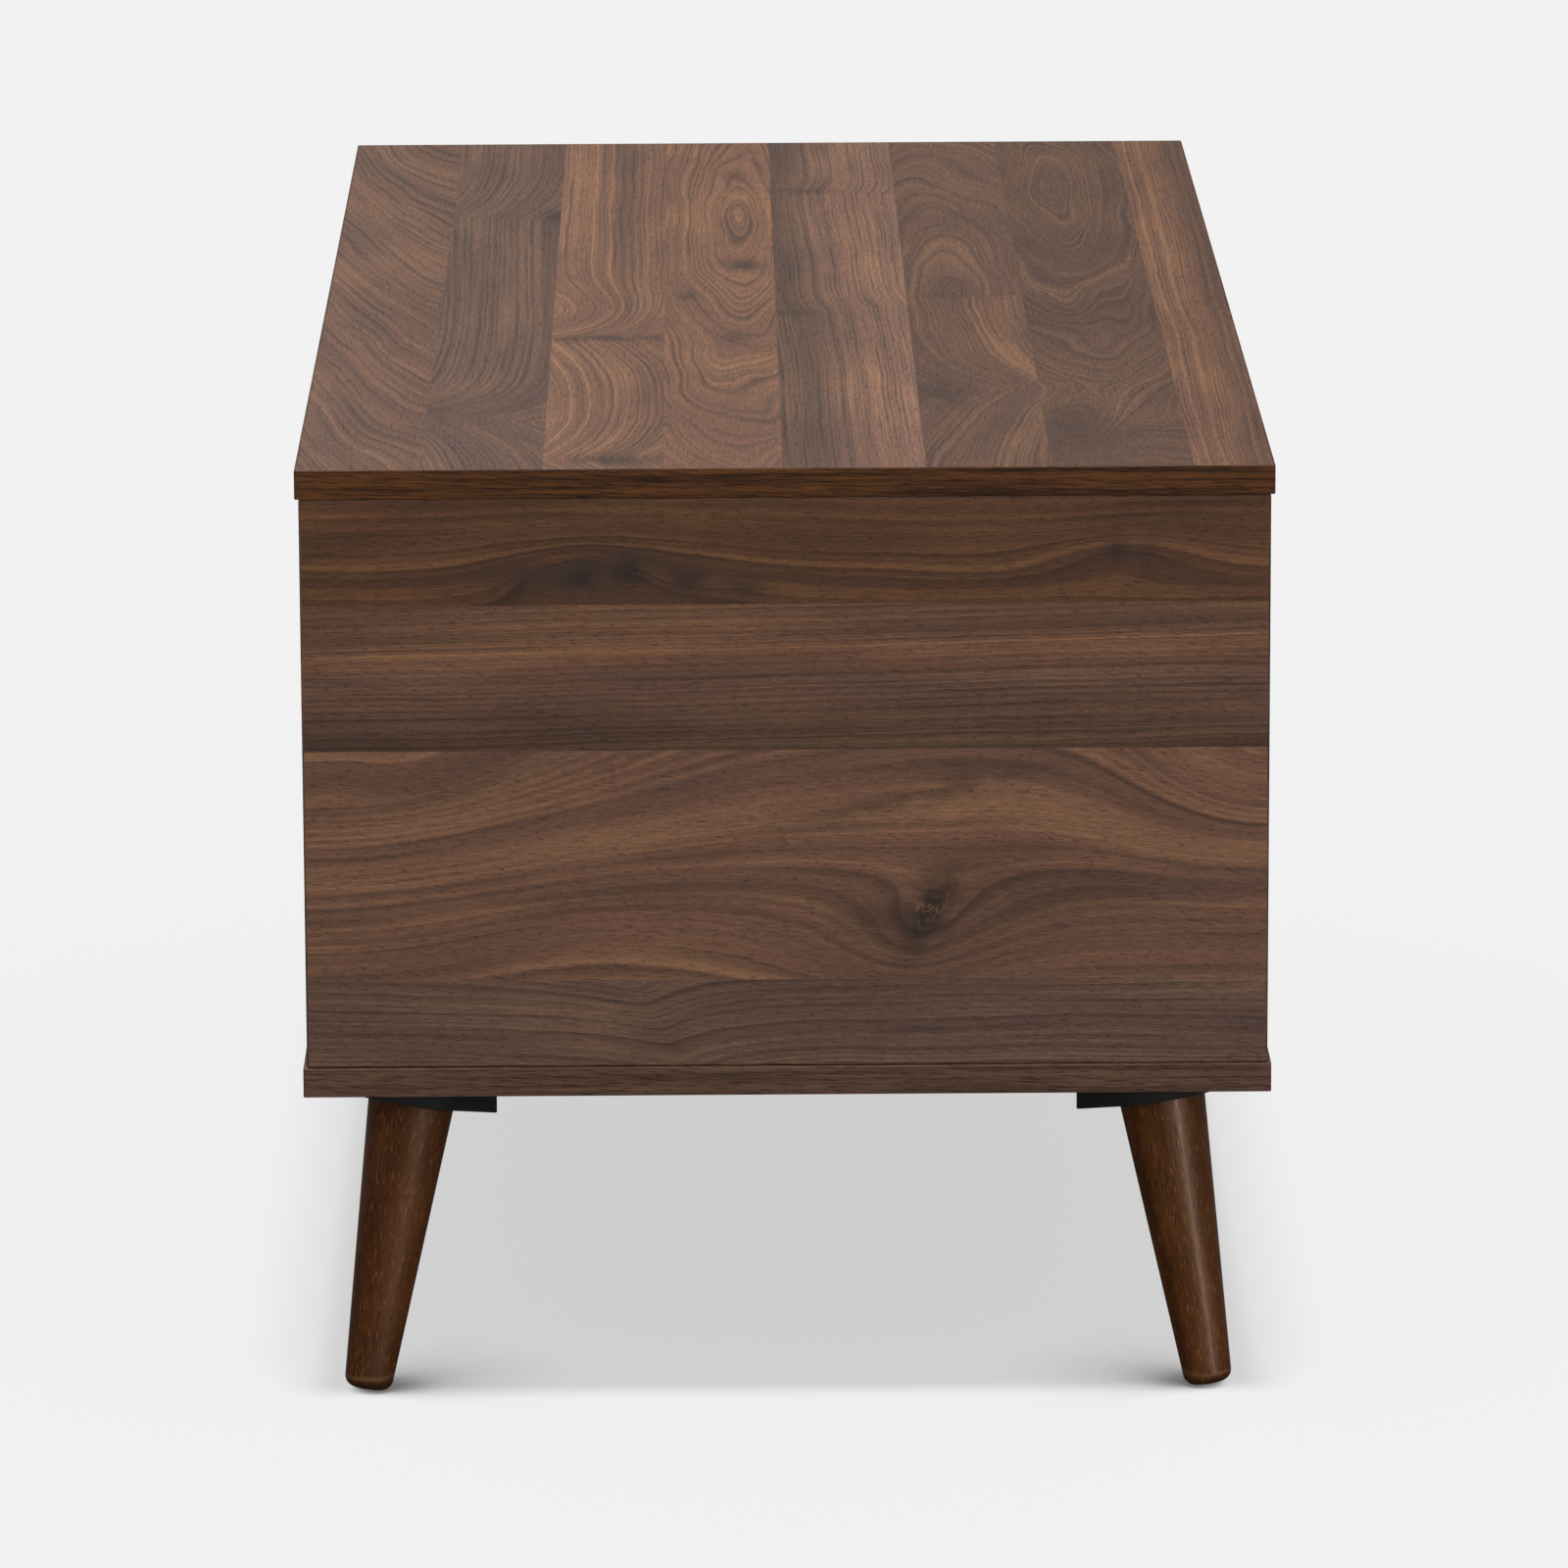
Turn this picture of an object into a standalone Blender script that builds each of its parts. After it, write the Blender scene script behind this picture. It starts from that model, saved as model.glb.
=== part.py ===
"""A storage coffee table: a laminated case with two drawers, on four splayed tapered legs.

Metres, +Z up. X runs along the table and Y across it, and the drawers open towards -Y.
The origin is on the floor, under the middle of the top.
"""
import math

import bmesh
import bpy
from mathutils import Matrix, Vector

# Case
TABLE_LENGTH = 1.000
TABLE_DEPTH = 0.500
BOARD = 0.015
CASE_CLEAR_HEIGHT = 0.300
LEG_RISE = 0.166
OVERHANG = 0.002
ARRIS = 0.0008
DRAWER_BAY_HEIGHT = 0.180

# Clearances
SEAT = 0.0003
FRONT_GAP = 0.002
RAIL_RUN = 0.0006

# Legs
LEG_INSET = 0.054
LEG_TILT = math.radians(12.9)
LEG_TOP_D = 0.045
LEG_FOOT_D = 0.0245
FOOT_ROUND = 0.005
FOOT_FLAT = 0.0008
LEG_STEPS = 28

# Wedge brackets
BRACKET_HALF_WIDTH = 0.034
BRACKET_TAIL = 0.031
BRACKET_THICK = 0.0155
BRACKET_ROUND = 0.003

# Leg bolts
LEG_BOLT_D = 0.008
LEG_BOLT_IN_LEG = 0.030
LEG_BOLT_SHY = 0.001

# Cam locks and cam bolts
CAM_D = 0.015
CAM_SKIN = 0.003
CAM_REACH = 0.024
CAM_EDGE = 0.060
CAM_SLOT_LENGTH = 0.008
CAM_SLOT_WIDTH = 0.0016
CAM_SLOT_DEEP = 0.002
CAM_BOLT_SHAFT_D = 0.0068
CAM_BOLT_NECK_D = 0.0044
CAM_BOLT_HEAD_D = 0.0066
CAM_BOLT_HEAD_LENGTH = 0.004
CAM_BOLT_THREAD_D = 0.005
CAM_BOLT_SKIN = 0.004

# Drawers
DRAWER_SIDE = 0.012
DRAWER_BOX_HEIGHT = 0.130
DRAWER_BOX_LIFT = 0.010
DRAWER_REAR_SPACE = 0.030
DRAWER_BOTTOM = 0.004
GROOVE_DEEP = 0.006
GROOVE_UP = 0.010
GRIP_WIDTH = 0.110
GRIP_DEEP = 0.026
GRIP_ROUND = 0.013

# Drawer slides
SLIDE_SPACE = 0.0127
RAIL_LENGTH = 0.400
RAIL_HEIGHT = 0.035
RAIL_DEPTH = 0.0105
RAIL_WALL = 0.0012
RAIL_SETBACK = 0.003

# Facets
ROUND_SIDES = 16
ARC_STEPS = 6
CUT_PAST = 0.005

# Levels and faces that follow from the sizes above
FLOOR_Z = LEG_RISE + BOARD
CEILING_Z = FLOOR_Z + CASE_CLEAR_HEIGHT
SHELF_Z = FLOOR_Z + DRAWER_BAY_HEIGHT
END_X = TABLE_LENGTH / 2 - OVERHANG
INNER_X = END_X - BOARD
SIDE_Y = TABLE_DEPTH / 2 - OVERHANG
BAY_WIDTH = INNER_X - BOARD / 2
CAM_Y = SIDE_Y - CAM_EDGE
CAM_DEPTH = BOARD - CAM_SKIN
PANEL_MID_X = END_X - BOARD / 2
BOX_WIDTH = BAY_WIDTH - 2 * SLIDE_SPACE
BOX_LENGTH = 2 * (SIDE_Y - BOARD) - DRAWER_REAR_SPACE

ENDS = (("right", 1), ("left", -1))
SIDES = (("front", -1), ("rear", 1))


def clear_scene():
    """Remove whatever the scene holds."""
    for old in list(bpy.data.objects):
        bpy.data.objects.remove(old, do_unlink=True)


def new_collection(name):
    collection = bpy.data.collections.new(name)
    bpy.context.scene.collection.children.link(collection)
    return collection


def new_material(name, colour, roughness, metallic=0.0):
    material = bpy.data.materials.new(name)
    material.use_nodes = True
    shader = material.node_tree.nodes["Principled BSDF"]
    shader.inputs["Base Color"].default_value = (*colour, 1.0)
    shader.inputs["Roughness"].default_value = roughness
    shader.inputs["Metallic"].default_value = metallic
    return material


clear_scene()
PARTS = new_collection("coffee_table")
CUTTERS = new_collection("cutters")
TOP_LAMINATE = new_material("top_laminate", (0.190, 0.119, 0.088), 0.42)
PANEL_LAMINATE = new_material("panel_laminate", (0.118, 0.060, 0.040), 0.45)
DRAWER_BOARD = new_material("drawer_board", (0.098, 0.056, 0.038), 0.55)
LEG_WOOD = new_material("leg_wood", (0.076, 0.033, 0.018), 0.32)
BLACK_PLASTIC = new_material("black_plastic", (0.010, 0.009, 0.008), 0.45)
ZINC = new_material("zinc", (0.62, 0.61, 0.58), 0.35, 1.0)
RAIL_STEEL = new_material("rail_steel", (0.45, 0.46, 0.47), 0.30, 1.0)


def new_object(name, mesh, material=None, parent=None):
    """Put a mesh in the table's collection, or in the cutters' one if it has no material."""
    obj = bpy.data.objects.new(name, mesh)
    if material is None:
        CUTTERS.objects.link(obj)
        obj.hide_render = True
        obj.display_type = 'WIRE'
    else:
        PARTS.objects.link(obj)
        mesh.materials.append(material)
    obj.parent = parent
    return obj


def box(name, low, high, material=None, parent=None):
    """A box between two corners, with its origin in its middle."""
    low, high = Vector(low), Vector(high)
    bm = bmesh.new()
    bmesh.ops.create_cube(bm, size=1.0)
    bmesh.ops.scale(bm, vec=high - low, verts=bm.verts)
    mesh = bpy.data.meshes.new(name)
    bm.to_mesh(mesh)
    bm.free()
    obj = new_object(name, mesh, material, parent)
    obj.location = (low + high) / 2
    return obj


def rods(name, radius, length, places, material=None, parent=None):
    """Equal cylinders in one mesh, each centred on its place matrix and running along its Z."""
    bm = bmesh.new()
    for place in places:
        bmesh.ops.create_cone(bm, cap_ends=True, segments=ROUND_SIDES, radius1=radius,
                              radius2=radius, depth=length, matrix=place)
    mesh = bpy.data.meshes.new(name)
    bm.to_mesh(mesh)
    bm.free()
    return new_object(name, mesh, material, parent)


def turned(name, profile, steps, material, parent=None):
    """A turned piece: (radius, z) points that run down the outer side, spun round Z."""
    mesh = bpy.data.meshes.new(name)
    points = [(radius, 0.0, z) for radius, z in profile]
    lines = [(i, i + 1) for i in range(len(points) - 1)]
    mesh.from_pydata(points, lines, [])
    obj = new_object(name, mesh, material, parent)
    screw = obj.modifiers.new("turn", 'SCREW')
    screw.axis = 'Z'
    screw.steps = steps
    screw.render_steps = steps
    screw.use_merge_vertices = True
    screw.merge_threshold = 0.00001
    screw.use_smooth_shade = True
    return obj


def plate(name, outline, thickness, material, parent=None):
    """A flat outline in XY, thickened both ways from its plane and turned into a mesh."""
    curve = bpy.data.curves.new(name + "_outline", 'CURVE')
    curve.dimensions = '2D'
    curve.fill_mode = 'BOTH'
    curve.extrude = thickness / 2
    spline = curve.splines.new('POLY')
    spline.points.add(len(outline) - 1)
    for point, (x, y) in zip(spline.points, outline):
        point.co = (x, y, 0.0, 1.0)
    spline.use_cyclic_u = True
    drawn = bpy.data.objects.new(name + "_outline", curve)
    PARTS.objects.link(drawn)
    depsgraph = bpy.context.evaluated_depsgraph_get()
    mesh = bpy.data.meshes.new_from_object(drawn.evaluated_get(depsgraph))
    mesh.name = name
    mesh.materials.clear()
    bpy.data.objects.remove(drawn, do_unlink=True)
    bm = bmesh.new()
    bm.from_mesh(mesh)
    bmesh.ops.remove_doubles(bm, verts=bm.verts, dist=0.00001)
    bmesh.ops.recalc_face_normals(bm, faces=bm.faces)
    bm.to_mesh(mesh)
    bm.free()
    return new_object(name, mesh, material, parent)


def cut(target, cutter):
    """Subtract one cutter from a piece."""
    boolean = target.modifiers.new("cut_" + cutter.name, 'BOOLEAN')
    boolean.operation = 'DIFFERENCE'
    boolean.solver = 'EXACT'
    boolean.object = cutter


def soften(obj, width):
    """Break a board's sharp edges with a narrow chamfer."""
    bevel = obj.modifiers.new("arris", 'BEVEL')
    bevel.width = width
    bevel.segments = 1
    bevel.limit_method = 'ANGLE'


def arc(centre, radius, start, stop):
    """Points of a round corner, from one angle to another."""
    angles = [start + (stop - start) * i / ARC_STEPS for i in range(ARC_STEPS + 1)]
    return [(centre[0] + radius * math.cos(a), centre[1] + radius * math.sin(a)) for a in angles]


def along_x(x, y, z):
    """Place matrix of a cylinder that runs along X."""
    return Matrix.Translation((x, y, z)) @ Matrix.Rotation(math.pi / 2, 4, 'Y')


def cam_levels():
    """Name, height of the joint face and the way from that face into the panel."""
    return (("top", CEILING_Z, -1), ("bottom", FLOOR_Z, 1))


def cam_places():
    """Name, end sign, cross position, joint height and way in, for each of the eight cams."""
    for end, sx in ENDS:
        for side, sy in SIDES:
            for level, joint_z, way in cam_levels():
                yield f"{end}_{side}_{level}", sx, sy * CAM_Y, joint_z, way


def make_main_boards():
    """Top and bottom boards, drilled for the cam bolts of both end panels."""
    half_x, half_y = TABLE_LENGTH / 2, TABLE_DEPTH / 2
    top = box("top_board", (-half_x, -half_y, CEILING_Z),
              (half_x, half_y, CEILING_Z + BOARD), TOP_LAMINATE)
    bottom = box("bottom_board", (-half_x, -half_y, LEG_RISE),
                 (half_x, half_y, FLOOR_Z), PANEL_LAMINATE)
    deep = BOARD - CAM_BOLT_SKIN
    for board, face_z, way in ((top, CEILING_Z, 1), (bottom, FLOOR_Z, -1)):
        soften(board, ARRIS)
        middle_z = face_z + way * (deep - CUT_PAST) / 2
        places = [Matrix.Translation((sx * PANEL_MID_X, sy * CAM_Y, middle_z))
                  for _, sx in ENDS for _, sy in SIDES]
        holes = rods(board.name + "_holes", CAM_BOLT_THREAD_D / 2 + SEAT, deep + CUT_PAST, places)
        cut(board, holes)


def make_end_panels():
    """End panels, with a round pocket for each cam and a hole from the edge for its bolt."""
    for end, sx in ENDS:
        x_low, x_high = sorted((sx * INNER_X, sx * END_X))
        panel = box("end_panel_" + end, (x_low, -SIDE_Y, FLOOR_Z + SEAT),
                    (x_high, SIDE_Y, CEILING_Z - SEAT), PANEL_LAMINATE)
        pocket_x = sx * (INNER_X + (CAM_DEPTH + SEAT - CUT_PAST) / 2)
        pockets = []
        bolt_holes = []
        for _, cam_sx, y, joint_z, way in cam_places():
            if cam_sx == sx:
                pockets.append(along_x(pocket_x, y, joint_z + way * CAM_REACH))
                hole_z = joint_z + way * (CAM_REACH - CUT_PAST) / 2
                bolt_holes.append(Matrix.Translation((sx * PANEL_MID_X, y, hole_z)))
        pocket_deep = CAM_DEPTH + SEAT + CUT_PAST
        bore_radius = CAM_BOLT_SHAFT_D / 2 + SEAT
        cut(panel, rods(panel.name + "_pockets", CAM_D / 2 + SEAT, pocket_deep, pockets))
        cut(panel, rods(panel.name + "_bores", bore_radius, CAM_REACH + CUT_PAST, bolt_holes))


def make_inner_boards():
    """Centre partition, the two shelves and the two rear panels."""
    box("centre_partition", (-BOARD / 2, -SIDE_Y, FLOOR_Z + SEAT),
        (BOARD / 2, SIDE_Y, CEILING_Z - SEAT), PANEL_LAMINATE)
    for end, sx in ENDS:
        x_low, x_high = sorted((sx * (BOARD / 2 + SEAT), sx * (INNER_X - SEAT)))
        box("shelf_" + end, (x_low, -SIDE_Y, SHELF_Z),
            (x_high, SIDE_Y, SHELF_Z + BOARD), PANEL_LAMINATE)
        box("rear_panel_" + end, (x_low, SIDE_Y - BOARD, FLOOR_Z + SEAT),
            (x_high, SIDE_Y, SHELF_Z - SEAT), PANEL_LAMINATE)


def make_cams():
    """Cam locks in the end panels, and the bolts that they draw."""
    for place, sx, y, joint_z, way in cam_places():
        cam_z = joint_z + way * CAM_REACH
        cam_x = sx * (INNER_X + CAM_DEPTH / 2)
        cam = rods("cam_lock_" + place, CAM_D / 2, CAM_DEPTH, [along_x(cam_x, y, cam_z)], ZINC)
        head_end = CAM_REACH + CAM_BOLT_HEAD_LENGTH / 2
        seat_z = joint_z + way * (head_end + SEAT) / 2
        seat = Matrix.Translation((sx * PANEL_MID_X, y, seat_z))
        cut(cam, rods(cam.name + "_seat", CAM_BOLT_SHAFT_D / 2 + SEAT, head_end + SEAT, [seat]))
        slot_x = sorted((sx * (INNER_X - CUT_PAST), sx * (INNER_X + CAM_SLOT_DEEP)))
        long, wide = CAM_SLOT_LENGTH / 2, CAM_SLOT_WIDTH / 2
        slot = box(cam.name + "_slot", (slot_x[0], y - long, cam_z - wide),
                   (slot_x[1], y + long, cam_z + wide))
        cut(cam, slot)
        thread = BOARD - CAM_BOLT_SKIN - SEAT
        shoulder = CAM_REACH - CAM_D / 2
        neck_end = CAM_REACH - CAM_BOLT_HEAD_LENGTH / 2
        profile = [(0.0, thread), (CAM_BOLT_THREAD_D / 2, thread), (CAM_BOLT_THREAD_D / 2, -SEAT),
                   (CAM_BOLT_SHAFT_D / 2, -SEAT), (CAM_BOLT_SHAFT_D / 2, -shoulder),
                   (CAM_BOLT_NECK_D / 2, -shoulder), (CAM_BOLT_NECK_D / 2, -neck_end),
                   (CAM_BOLT_HEAD_D / 2, -neck_end), (CAM_BOLT_HEAD_D / 2, -head_end), (0.0, -head_end)]
        bolt = turned("cam_bolt_" + place, profile, ROUND_SIDES, ZINC)
        bolt.location = (sx * PANEL_MID_X, y, joint_z)
        bolt.rotation_euler = (0.0 if way < 0 else math.pi, 0.0, 0.0)


def leg_length():
    """Length along the axis at which the foot's rounded rim reaches just below the floor."""
    top_z = LEG_RISE - SEAT - BRACKET_THICK - SEAT
    rim = (LEG_FOOT_D / 2 - FOOT_ROUND) * math.sin(LEG_TILT) + FOOT_ROUND * (1.0 - math.cos(LEG_TILT))
    return (top_z + FOOT_FLAT - rim) / math.cos(LEG_TILT)


def bracket_outline():
    """Round towards the table's corner, square towards its middle, with two small corner radii."""
    half, tail, small = BRACKET_HALF_WIDTH, BRACKET_TAIL, BRACKET_ROUND
    quarter = math.pi / 2
    points = []
    for i in range(2 * ARC_STEPS + 1):
        angle = -quarter + math.pi * i / (2 * ARC_STEPS)
        points.append((half * math.cos(angle), half * math.sin(angle)))
    points += arc((small - tail, half - small), small, quarter, 2 * quarter)
    points += arc((small - tail, small - half), small, 2 * quarter, 3 * quarter)
    return points


def make_bracket(name, place, turn):
    """A wedge plate under the bottom board, whose lower face is square to the leg."""
    fall = math.tan(LEG_TILT)
    deepest = BRACKET_THICK + fall * BRACKET_TAIL
    bracket = plate(name, bracket_outline(), deepest, BLACK_PLASTIC)
    bracket.location = place + Vector((0.0, 0.0, -SEAT - deepest / 2))
    bracket.rotation_euler = (0.0, 0.0, turn)
    reach = 3 * (BRACKET_HALF_WIDTH + BRACKET_TAIL)
    slope = box(name + "_slope", (-reach, -reach, -reach), (reach, reach, 0.0))
    slope.data.transform(Matrix.Translation((0.0, 0.0, -reach / 2)))
    slope.location = place + Vector((0.0, 0.0, -SEAT - BRACKET_THICK))
    slope.rotation_euler = (0.0, -LEG_TILT, turn)
    cut(bracket, slope)
    bore = rods(name + "_bore", LEG_BOLT_D / 2 + SEAT, 2 * deepest + reach, [Matrix.Identity(4)])
    bore.location = slope.location
    bore.rotation_euler = slope.rotation_euler
    cut(bracket, bore)


def make_leg(name, place, turn):
    """A turned tapered leg, bored for its bolt, with a small flat where it stands."""
    length = leg_length()
    bore, deep = LEG_BOLT_D / 2 + SEAT, LEG_BOLT_IN_LEG + SEAT
    foot = LEG_FOOT_D / 2
    rim = arc((foot - FOOT_ROUND, FOOT_ROUND - length), FOOT_ROUND, 0.0, -math.pi / 2)
    profile = [(0.0, -deep), (bore, -deep), (bore, 0.0), (LEG_TOP_D / 2, 0.0), *rim, (0.0, -length)]
    leg = turned(name, profile, LEG_STEPS, LEG_WOOD)
    leg.location = place + Vector((0.0, 0.0, -SEAT - BRACKET_THICK - SEAT))
    leg.rotation_euler = (0.0, -LEG_TILT, turn)
    ground = box(name + "_ground", (-LEG_RISE, -LEG_RISE, -LEG_RISE), (LEG_RISE, LEG_RISE, 0.0))
    ground.location += Vector((place.x, place.y, 0.0))
    cut(leg, ground)


def make_leg_bolt(name, place, turn):
    """A bolt along the leg's axis, from inside the leg to just under the bottom board."""
    radius = LEG_BOLT_D / 2
    into_bracket = BRACKET_THICK / math.cos(LEG_TILT) - radius * math.tan(LEG_TILT) - LEG_BOLT_SHY
    into_leg = -LEG_BOLT_IN_LEG
    profile = [(0.0, into_bracket), (radius, into_bracket), (radius, into_leg), (0.0, into_leg)]
    bolt = turned(name, profile, ROUND_SIDES, ZINC)
    bolt.location = place + Vector((0.0, 0.0, -SEAT - BRACKET_THICK))
    bolt.rotation_euler = (0.0, -LEG_TILT, turn)


def make_legs():
    """One leg, bracket and bolt in each corner, leaning out along the corner's diagonal."""
    for end, sx in ENDS:
        for side, sy in SIDES:
            x, y = sx * (TABLE_LENGTH / 2 - LEG_INSET), sy * (TABLE_DEPTH / 2 - LEG_INSET)
            place = Vector((x, y, LEG_RISE))
            turn = math.atan2(sy, sx)
            make_bracket(f"leg_bracket_{side}_{end}", place, turn)
            make_leg(f"leg_{side}_{end}", place, turn)
            make_leg_bolt(f"leg_bolt_{side}_{end}", place, turn)


def front_outline(width, height):
    """A drawer front with a grip cut down into the middle of its upper edge."""
    half, grip, low = width / 2, GRIP_WIDTH / 2, height - GRIP_DEEP
    quarter = math.pi / 2
    points = [(-half, 0.0), (half, 0.0), (half, height), (grip, height)]
    points += arc((grip - GRIP_ROUND, low + GRIP_ROUND), GRIP_ROUND, 0.0, -quarter)
    points += arc((GRIP_ROUND - grip, low + GRIP_ROUND), GRIP_ROUND, -quarter, -2 * quarter)
    points += [(-grip, height), (-half, height)]
    return points


def bay_frame(name, sx):
    """An empty at the middle of a drawer bay's lower front edge."""
    empty = bpy.data.objects.new(name, None)
    PARTS.objects.link(empty)
    empty.location = (sx * (BOARD / 2 + BAY_WIDTH / 2), -SIDE_Y, FLOOR_Z)
    return empty


def make_drawer(end, sx):
    """One drawer box, in the frame of its bay: X across the bay, Y into the case."""
    frame = bay_frame(f"drawer_{end}_frame", sx)
    name = f"drawer_{end}_"
    outer, inner = BOX_WIDTH / 2, BOX_WIDTH / 2 - DRAWER_SIDE
    y_front, y_back = BOARD + SEAT, BOARD + BOX_LENGTH
    z_low, z_high = DRAWER_BOX_LIFT, DRAWER_BOX_LIFT + DRAWER_BOX_HEIGHT
    groove_low = z_low + GROOVE_UP
    groove_high = groove_low + DRAWER_BOTTOM + 2 * SEAT
    tongue = inner + GROOVE_DEEP - SEAT

    outline = front_outline(BAY_WIDTH - 2 * FRONT_GAP, DRAWER_BAY_HEIGHT - 2 * FRONT_GAP)
    front = plate(name + "front", outline, BOARD, PANEL_LAMINATE, frame)
    front.location = (0.0, BOARD / 2, FRONT_GAP)
    front.rotation_euler = (math.pi / 2, 0.0, 0.0)
    front_groove = box(front.name + "_groove", (-tongue - SEAT, BOARD - GROOVE_DEEP, groove_low),
                       (tongue + SEAT, BOARD + CUT_PAST, groove_high), parent=frame)
    cut(front, front_groove)

    for which, k in (("outer", sx), ("inner", -sx)):
        x_low, x_high = sorted((k * inner, k * outer))
        side = box(f"{name}side_{which}", (x_low, y_front, z_low), (x_high, y_back, z_high),
                   DRAWER_BOARD, frame)
        g_low, g_high = sorted((k * (inner - CUT_PAST), k * (inner + GROOVE_DEEP)))
        groove = box(side.name + "_groove", (g_low, y_front - CUT_PAST, groove_low),
                     (g_high, y_back + CUT_PAST, groove_high), parent=frame)
        cut(side, groove)

    box(name + "bottom", (-tongue, BOARD - GROOVE_DEEP + SEAT, groove_low + SEAT),
        (tongue, y_back, groove_high - SEAT), DRAWER_BOARD, frame)
    box(name + "back", (SEAT - inner, y_back - DRAWER_SIDE, groove_high),
        (inner - SEAT, y_back, z_high), DRAWER_BOARD, frame)
    make_slides(end, sx, frame)


def make_slides(end, sx, frame):
    """A case rail and a drawer rail on each side of a bay. The case rail's closed end is the stop."""
    middle_z = DRAWER_BOX_LIFT + DRAWER_BOX_HEIGHT / 2
    y_front = BOARD + RAIL_SETBACK
    y_back = y_front + RAIL_LENGTH
    case_half = RAIL_HEIGHT / 2
    drawer_half = case_half - RAIL_WALL - RAIL_RUN
    for which, k in (("outer", sx), ("inner", -sx)):
        wall, web = BAY_WIDTH / 2 - SEAT, BAY_WIDTH / 2 - SEAT - RAIL_WALL
        x_low, x_high = sorted((k * wall, k * (wall - RAIL_DEPTH)))
        case_rail = box(f"case_rail_{end}_{which}", (x_low, y_front, middle_z - case_half),
                        (x_high, y_back, middle_z + case_half), RAIL_STEEL, frame)
        c_low, c_high = sorted((k * web, k * (wall - RAIL_DEPTH - CUT_PAST)))
        hollow = case_half - RAIL_WALL
        channel = box(case_rail.name + "_channel", (c_low, y_front - CUT_PAST, middle_z - hollow),
                      (c_high, y_back - RAIL_WALL, middle_z + hollow), parent=frame)
        cut(case_rail, channel)

        side, tip = BOX_WIDTH / 2 + SEAT, web - RAIL_RUN
        rail_back = y_back - RAIL_WALL - SEAT
        x_low, x_high = sorted((k * side, k * tip))
        drawer_rail = box(f"drawer_rail_{end}_{which}", (x_low, y_front, middle_z - drawer_half),
                          (x_high, rail_back, middle_z + drawer_half), RAIL_STEEL, frame)
        c_low, c_high = sorted((k * (side + RAIL_WALL), k * (tip + CUT_PAST)))
        hollow = drawer_half - RAIL_WALL
        channel = box(drawer_rail.name + "_channel", (c_low, y_front - CUT_PAST, middle_z - hollow),
                      (c_high, rail_back + CUT_PAST, middle_z + hollow), parent=frame)
        cut(drawer_rail, channel)


make_main_boards()
make_end_panels()
make_inner_boards()
make_cams()
make_legs()
for end_name, end_sign in ENDS:
    make_drawer(end_name, end_sign)
bpy.context.view_layer.update()
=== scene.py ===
# %% [markdown]
# # A storage coffee table
# The table is a flat-pack case of laminated boards that stands on four splayed, turned legs. Two drawers
# slide out of one long side, under two open compartments. The solids come from the CAD model, and this
# lesson dresses them: boards get a laminate and edge bands, legs get turned wood, and the small
# fixings that a maker would screw in are added. First the solids are loaded.

# %% Load the solids
import math
import random

import bmesh
import bpy
from mathutils import Matrix, Vector


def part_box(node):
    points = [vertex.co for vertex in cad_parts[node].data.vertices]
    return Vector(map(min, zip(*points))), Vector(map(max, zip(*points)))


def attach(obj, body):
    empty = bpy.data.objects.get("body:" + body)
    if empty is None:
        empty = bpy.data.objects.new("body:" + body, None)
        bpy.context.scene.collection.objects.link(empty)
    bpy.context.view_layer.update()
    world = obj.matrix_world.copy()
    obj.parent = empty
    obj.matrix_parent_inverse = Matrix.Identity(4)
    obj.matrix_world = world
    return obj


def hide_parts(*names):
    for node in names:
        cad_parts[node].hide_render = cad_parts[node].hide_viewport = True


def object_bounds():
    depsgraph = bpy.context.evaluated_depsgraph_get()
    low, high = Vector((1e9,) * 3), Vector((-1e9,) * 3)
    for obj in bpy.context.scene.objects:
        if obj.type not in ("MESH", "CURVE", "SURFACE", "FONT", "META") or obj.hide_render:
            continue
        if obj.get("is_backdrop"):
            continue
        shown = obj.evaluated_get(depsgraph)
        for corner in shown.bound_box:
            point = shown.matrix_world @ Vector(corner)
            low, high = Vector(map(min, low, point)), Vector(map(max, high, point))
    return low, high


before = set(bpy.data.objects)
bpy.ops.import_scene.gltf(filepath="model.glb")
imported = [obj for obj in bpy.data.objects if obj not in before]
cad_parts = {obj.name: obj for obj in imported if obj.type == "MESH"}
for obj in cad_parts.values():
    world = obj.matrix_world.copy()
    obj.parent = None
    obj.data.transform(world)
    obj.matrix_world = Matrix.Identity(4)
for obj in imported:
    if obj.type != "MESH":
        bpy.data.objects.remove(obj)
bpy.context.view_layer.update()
scene = bpy.context.scene

# %% [markdown]
# ## Camera
# A product photographer stands far back with a long lens, so that the case keeps nearly straight sides.
# The camera could be aimed with a constraint, but a matrix from three directions keeps its small roll too.

# %% Camera
FOCAL_PX = 10089.2
IMAGE_PX = 1600
SENSOR_MM = 36.0
PITCH = math.radians(13.229)
YAW = math.radians(0.465)
ROLL = math.radians(-0.256)
CAMERA_AT = (5.4355, -0.0412, 1.4912)

ahead = Vector((-math.cos(YAW) * math.cos(PITCH), math.sin(YAW) * math.cos(PITCH), -math.sin(PITCH)))
level = Vector((math.sin(YAW), math.cos(YAW), 0.0))
upright = level.cross(ahead)
to_right = math.cos(ROLL) * level + math.sin(ROLL) * upright
to_top = math.cos(ROLL) * upright - math.sin(ROLL) * level


def put(name, data):
    """Make an object from its data and put it into the scene."""
    made = bpy.data.objects.new(name, data)
    scene.collection.objects.link(made)
    return made


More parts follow.
